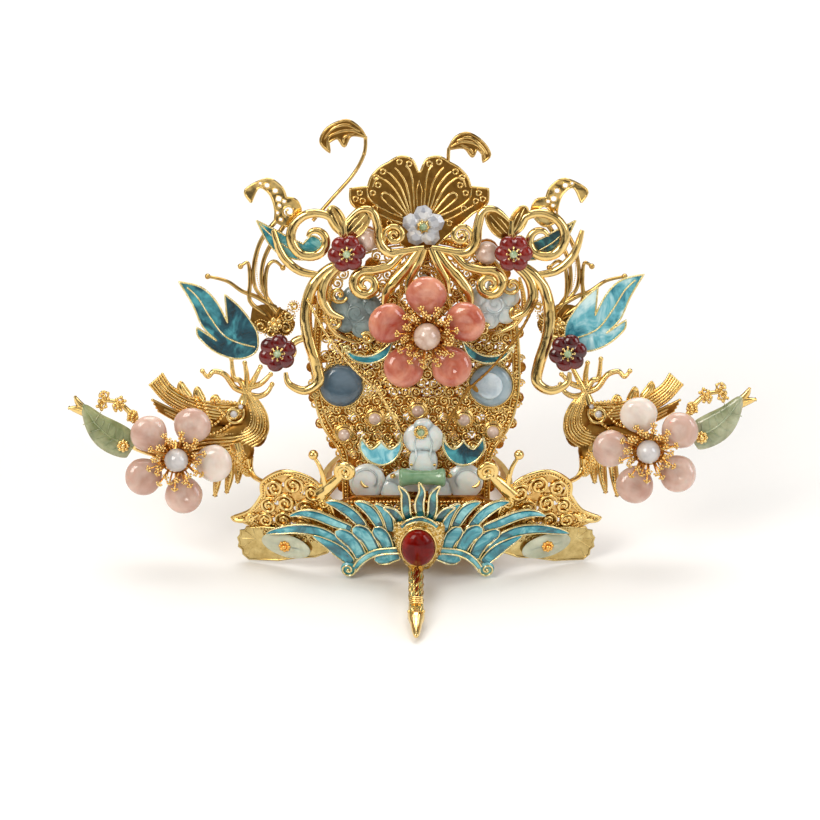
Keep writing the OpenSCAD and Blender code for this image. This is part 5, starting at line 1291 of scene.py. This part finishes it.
olive_jade = stone("olive_serpentine_jade", "#6f7a4c", "#a9ad80", 6.0, 0.4, 0.12, 2.0)
grey_green_jade = stone("grey_green_serpentine_jade", "#87906a", "#bcc09e", 6.0, 0.4, 0.12, 2.0)
branch_rows = [(2, 0), (11, 3), (19, 8), (26, 13)]
spray_rows = [(10, 3.6), (12, 10.6), (17, 15.8), (23, 16.6)]
leaf_rows = [(12.9, 2.6), (16, 4.4), (20.4, 7), (24, 10.6), (27.3, 15.8)]
for side, hand in SIDES.items():
    form = bmesh.new()
    back = flat_run(branch_rows, 8)
    wires(form, [swell(back, 1.5, 1.9, 1.2, 3.2)], 10)
    blade(form, [(22.6, 10), (26.4, 13), (31.8, 14.4)], 3.4, 3.0, 0.7, 0.8)
    blade(form, [(25, 12.4), (28.4, 15.4), (29.8, 18)], 2.2, 3.0, 0.5, 0.7)
    wires(form, [swell(smooth_run([(23, 11, 3.9), (27, 13.2, 3.9), (31.2, 14.3, 3.7)]), 0.3, 0.3, 0.15)], 6)
    path = flat_run(spray_rows, 8, 3.2)
    wires(form, [swell(path, 0.9, 0.8, 0.5)], 8)
    for i, p in enumerate(path[5::3]):
        away = 1.5 if i % 2 else -1.3
        at = Vector((p.x + 0.5 * away, p.y + away, 3.5))
        wires(form, [[(*q, 3.6, 0.36) for q in coil(at.x, at.y, 1.5, 0.4, 70 * i, 70 * i + 480, 18)]], 6)
        for k in range(5):
            a = k * 2 * pi / 5 + i
            bead(form, (at.x + 1.3 * cos(a), at.y + 1.3 * sin(a), 3.9), 0.62)
        bead(form, (at.x, at.y, 4.2), 0.6)
    rosette(form, 15.6, 3.6, 6.3, 1.35, 0.3, 0.9)
    pin(form, 15.6, 3.6, 4, 6.2, 0.6)
    at = on_face(*flowers[hand][:2], 0, side)
    set_piece(f"branch_{hand}", form, at, gilt, [f"{hand}_calyx"])
    form = bmesh.new()
    blade(form, leaf_rows, 9.6, 4.9, 0.9, 0.8)
    spine = flat_run(leaf_rows, 6, 5.85)
    veins = [swell(spine, 0.34, 0.3, 0.1)]
    for i in range(3, len(spine) - 4, 3):
        ahead = (spine[i + 1] - spine[i]).normalized()
        across = Vector((-ahead.y, ahead.x, 0))
        for way in (-1, 1):
            vein = [spine[i] + ahead * 1.3 * t + across * way * 3.2 * t - Vector((0, 0, 0.52 * t * t))
                    for t in (0, 0.35, 0.7, 1)]
            veins.append([(*p, 0.16) for p in vein])
    wires(form, veins, 6)
    set_piece(f"jade_leaf_carved_{hand}", form, at, olive_jade if side == LEFT else grey_green_jade,
              [f"jade_leaf_{hand}"])

# Clouds.
# Upright filigree clouds each side of the gallery: pierced sheet with raised scrolls in double wire, grains
# between them and a smooth wire round the top, with a snail of coiled wire and a ball-ended feeler.
cloud_rows = [
    [(0, 12), (-0.6, 20), (1.5, 24.4), (4.4, 29.4), (9.6, 31.6), (15.4, 31.4), (20.8, 27), (21, 22.6)],
    [(21, 22.6), (24.4, 17), (30, 13.6)],
    [(30, 13.6), (24.6, 12), (21, 10.6), (10, 11.4), (0, 12)],
]
cloud_middle = Vector((11, 20, 0))
# Both kinds of plate start at this distance from the middle, and sweep back by these degrees
plate_hinge, plate_sweep = 25, 16
# Scrolls on a cloud: [distance out from the hinge, height, radius, first angle, turn]
cloud_scrolls = [
    (5.6, 25.8, 2.9, 40, 560), (11.4, 27.4, 3.1, 200, -560), (17, 25.6, 2.8, -60, 520),
    (7.8, 20, 2.9, 120, -520), (13.8, 21, 3.0, 0, 560), (18.8, 19.4, 2.4, 90, -520),
    (2.8, 18.2, 2.4, -40, 520), (8.6, 14.6, 2.5, 60, 520), (14.4, 15.2, 2.7, 150, -520),
    (19.8, 14.4, 2.2, 30, 480), (24.6, 14.4, 1.3, 60, 420), (2.2, 22.8, 1.6, 30, 480),
]
amber_gilt = gold("amber_gilt_sheet", "#b07a2c", "#f2cf8a", 0.22, 0.5, 1.4, 0.12, "satin")
for side, hand in SIDES.items():
    form, sheet = bmesh.new(), bmesh.new()
    edge = outline(cloud_rows, 5)
    cut(sheet, [edge] + [[Vector(p) for p in coil(x + 2.9, u - 0.6, 0.9, 0.9, 0, 330, 11)]
                         for x, u, r, a, b in cloud_scrolls[:9]], 0.8, -1.0)
    at = upright(36.9, plate_hinge, plate_sweep, side)
    set_piece(f"cloud_sheet_{hand}", sheet, at, amber_gilt, [f"cloud_{hand}"])
    wires(form, [rim(edge, 0.55, lift=-0.1), rim([p.lerp(cloud_middle, 0.1) for p in edge], 0.32)], 8)
    for x, u, r, first, turn in cloud_scrolls:
        wires(form, [swell(coil(x, u, r, 0.8, first, first + turn, 26), 0.34, 0.55, 0.4, 0.3),
                     swell(coil(x, u, r + 0.55, 1.3, first + 20, first + turn * 0.55, 20), 0.2, 0.26, 0.2,
                           0.1)], 6)
        bead(form, (x, u, 0.3), 0.6, 2)
        for k in range(6):
            bead(form, (x + (r + 0.5) * cos(k + first), u + (r + 0.5) * sin(k + first), 0.1), 0.42)
    bead_row(form, [(*p.lerp(cloud_middle, 0.055)[:2], 0.2) for p in edge], 0.32, 0.85)
    stalk = flat_run([(1.4, 27.6), (3, 34.2), (5.2, 38.2)], 8)
    wires(form, [swell(stalk, 1.0, 0.7, 0.55)], 8)
    bead(form, (5.3, 38.7, 0), 1.5, 3)
    for k in range(7):
        x, u, across, over = -3.4 + k * 1.05, 33.1 - k * 1.15, 0.7 + 0.14 * k, 0.5 + 0.1 * k
        wires(form, [[(x - across, u - over, -0.5, 0.34), (x + across, u + over, -0.5, 0.34)]], 8)
    wires(form, [swell([(-3.6, 33.4), (3.2, 25.6)], 1.2, 1.9, 2.6, -0.8)], 12)
    # The outer end runs out in a hooked wire
    hook = flat_run([(22, 16), (25.6, 13.4), (29, 12.8), (30.4, 13.8)])
    wires(form, [swell(hook, 0.7, 0.75, 0.4)], 8)
    wires(form, [swell(coil(-4.4, 34.4, 2.9, 0.5, -50, 760, 50), 0.95, 0.8, 0.4, -0.3)], 8)
    set_piece(f"cloud_scrolls_{hand}", form, at, gilt, [f"cloud_{hand}"])

# Foot plates.
# Scalloped plates of pale gilt sheet at the foot, veined like a leaf and rolled at the edge, each with a
# thin leaf of white jade held by a gold rosette.
white_jade = stone("white_green_jade_leaf", "#aaad92", "#d6d9c2", 7.0, 0.5, 0.12, 2.0)
pale_gilt = gold("pale_gilt_sheet", "#a8863f", "#f0dc9e", 0.22, 0.2, 2.4, 0.08, "satin")
foot_rows = [(1.0, 7.1), (0.4, 9), (3, 11.4), (8, 12.6), (16, 12.8), (21, 12.4), (24, 11.6), (25.6, 11.8),
             (26.2, 10.6), (27.6, 10.2), (27.6, 8.8), (28.4, 7.6), (27.9, 6.2), (28.2, 4.8), (27, 4),
             (26.8, 2.4), (25, 1), (16, 2), (10.7, 3.7), (4.9, 5)]
jade_vein = smooth_run([(6.4, 7, 0.9), (9.6, 7.8, 1.3), (13.4, 8.2, 1.6), (17.2, 8.6, 1.3), (20.4, 9, 0.9)],
                       5)
for side, hand in SIDES.items():
    at = upright(38.4, plate_hinge, plate_sweep, side)
    form = bmesh.new()
    edge = [Vector((*p, 0)) for p in foot_rows]
    cut(form, [edge], 0.8, -1.1)
    wires(form, [rim(edge, 0.36, lift=-0.35)], 6)
    for k in range(0, 9, 2):
        tip = edge[7 + k]
        wires(form, [swell([(22.6, 7.4 + 0.2 * k, -0.4), (tip.x - 1.6, tip.y, -0.4),
                            (tip.x - 0.4, tip.y, -0.4)], 0.1, 0.24, 0.1)], 6)
    bead_row(form, [(x, 12.1 - abs(x - 14) * 0.02, -0.1) for x in (3.4, 23)], 0.34, 0.85)
    for x in range(4, 22, 2):
        wires(form, [[(*p, -0.1, 0.24) for p in coil(x, 10.6, 0.85, 0.3, 30 * x, 30 * x + 400, 12)]], 6)
    set_piece(f"foot_plate_{hand}", form, at, pale_gilt, [f"foot_leaf_{hand}"])
    form = bmesh.new()
    lobe(form, (13.4, 8, 0.9), (7.5, 3.8, 0.7), 9, 40, 16)
    wires(form, [swell(jade_vein, 0.15, 0.22, 0.1)], 6)
    set_piece(f"foot_jade_leaf_{hand}", form, at, white_jade, [f"foot_jade_{hand}"])
    form = bmesh.new()
    rosette(form, 13.6, 8.2, 1.75, 1.25, 0.4, 0.8)
    pin(form, 13.6, 8.2, -0.4, 1.8, 0.5)
    set_piece(f"foot_rosette_{hand}", form, at, warm_gilt)

# Base ring and back stay.
# Gilt brass strip, pierced and rolled, with a milled wire soldered along both edges of the ring. They are
# plain, as they lie in the hair and behind the panel.
satin_gilt = gold("satin_gilt_brass", "#d6a24c", "#f6d692", 0.28, 0.2, 2.0, 0.06, "satin")
# The ring is two half circles of this radius, this far from the middle
ring_r, half_gap = 27.05, 1
form = bmesh.new()
for z in (0.7, 8.3):
    loop = []
    for way, turns in [(1, range(-90, 91, 6)), (-1, range(90, 271, 6))]:
        loop += [(way * half_gap + ring_r * cos(radians(a)), ring_r * sin(radians(a)), z) for a in turns]
    wires(form, [rim(loop, 0.35)], 6)
    bead_row(form, [(x * 1.005, y * 1.005, z) for x, y, z in loop + loop[:1]], 0.32, 0.9)
for way in (-1, 1):
    bead(form, (way * 10, 26.6, 9.6), 1.2, 2)
    bead(form, (way * 10, 22.4, 38.6), 1.5, 2)
set_piece("ring_milled_wire", form, METRES, gilt)
dress("base_ring", satin_gilt)
dress("back_stay", satin_gilt)
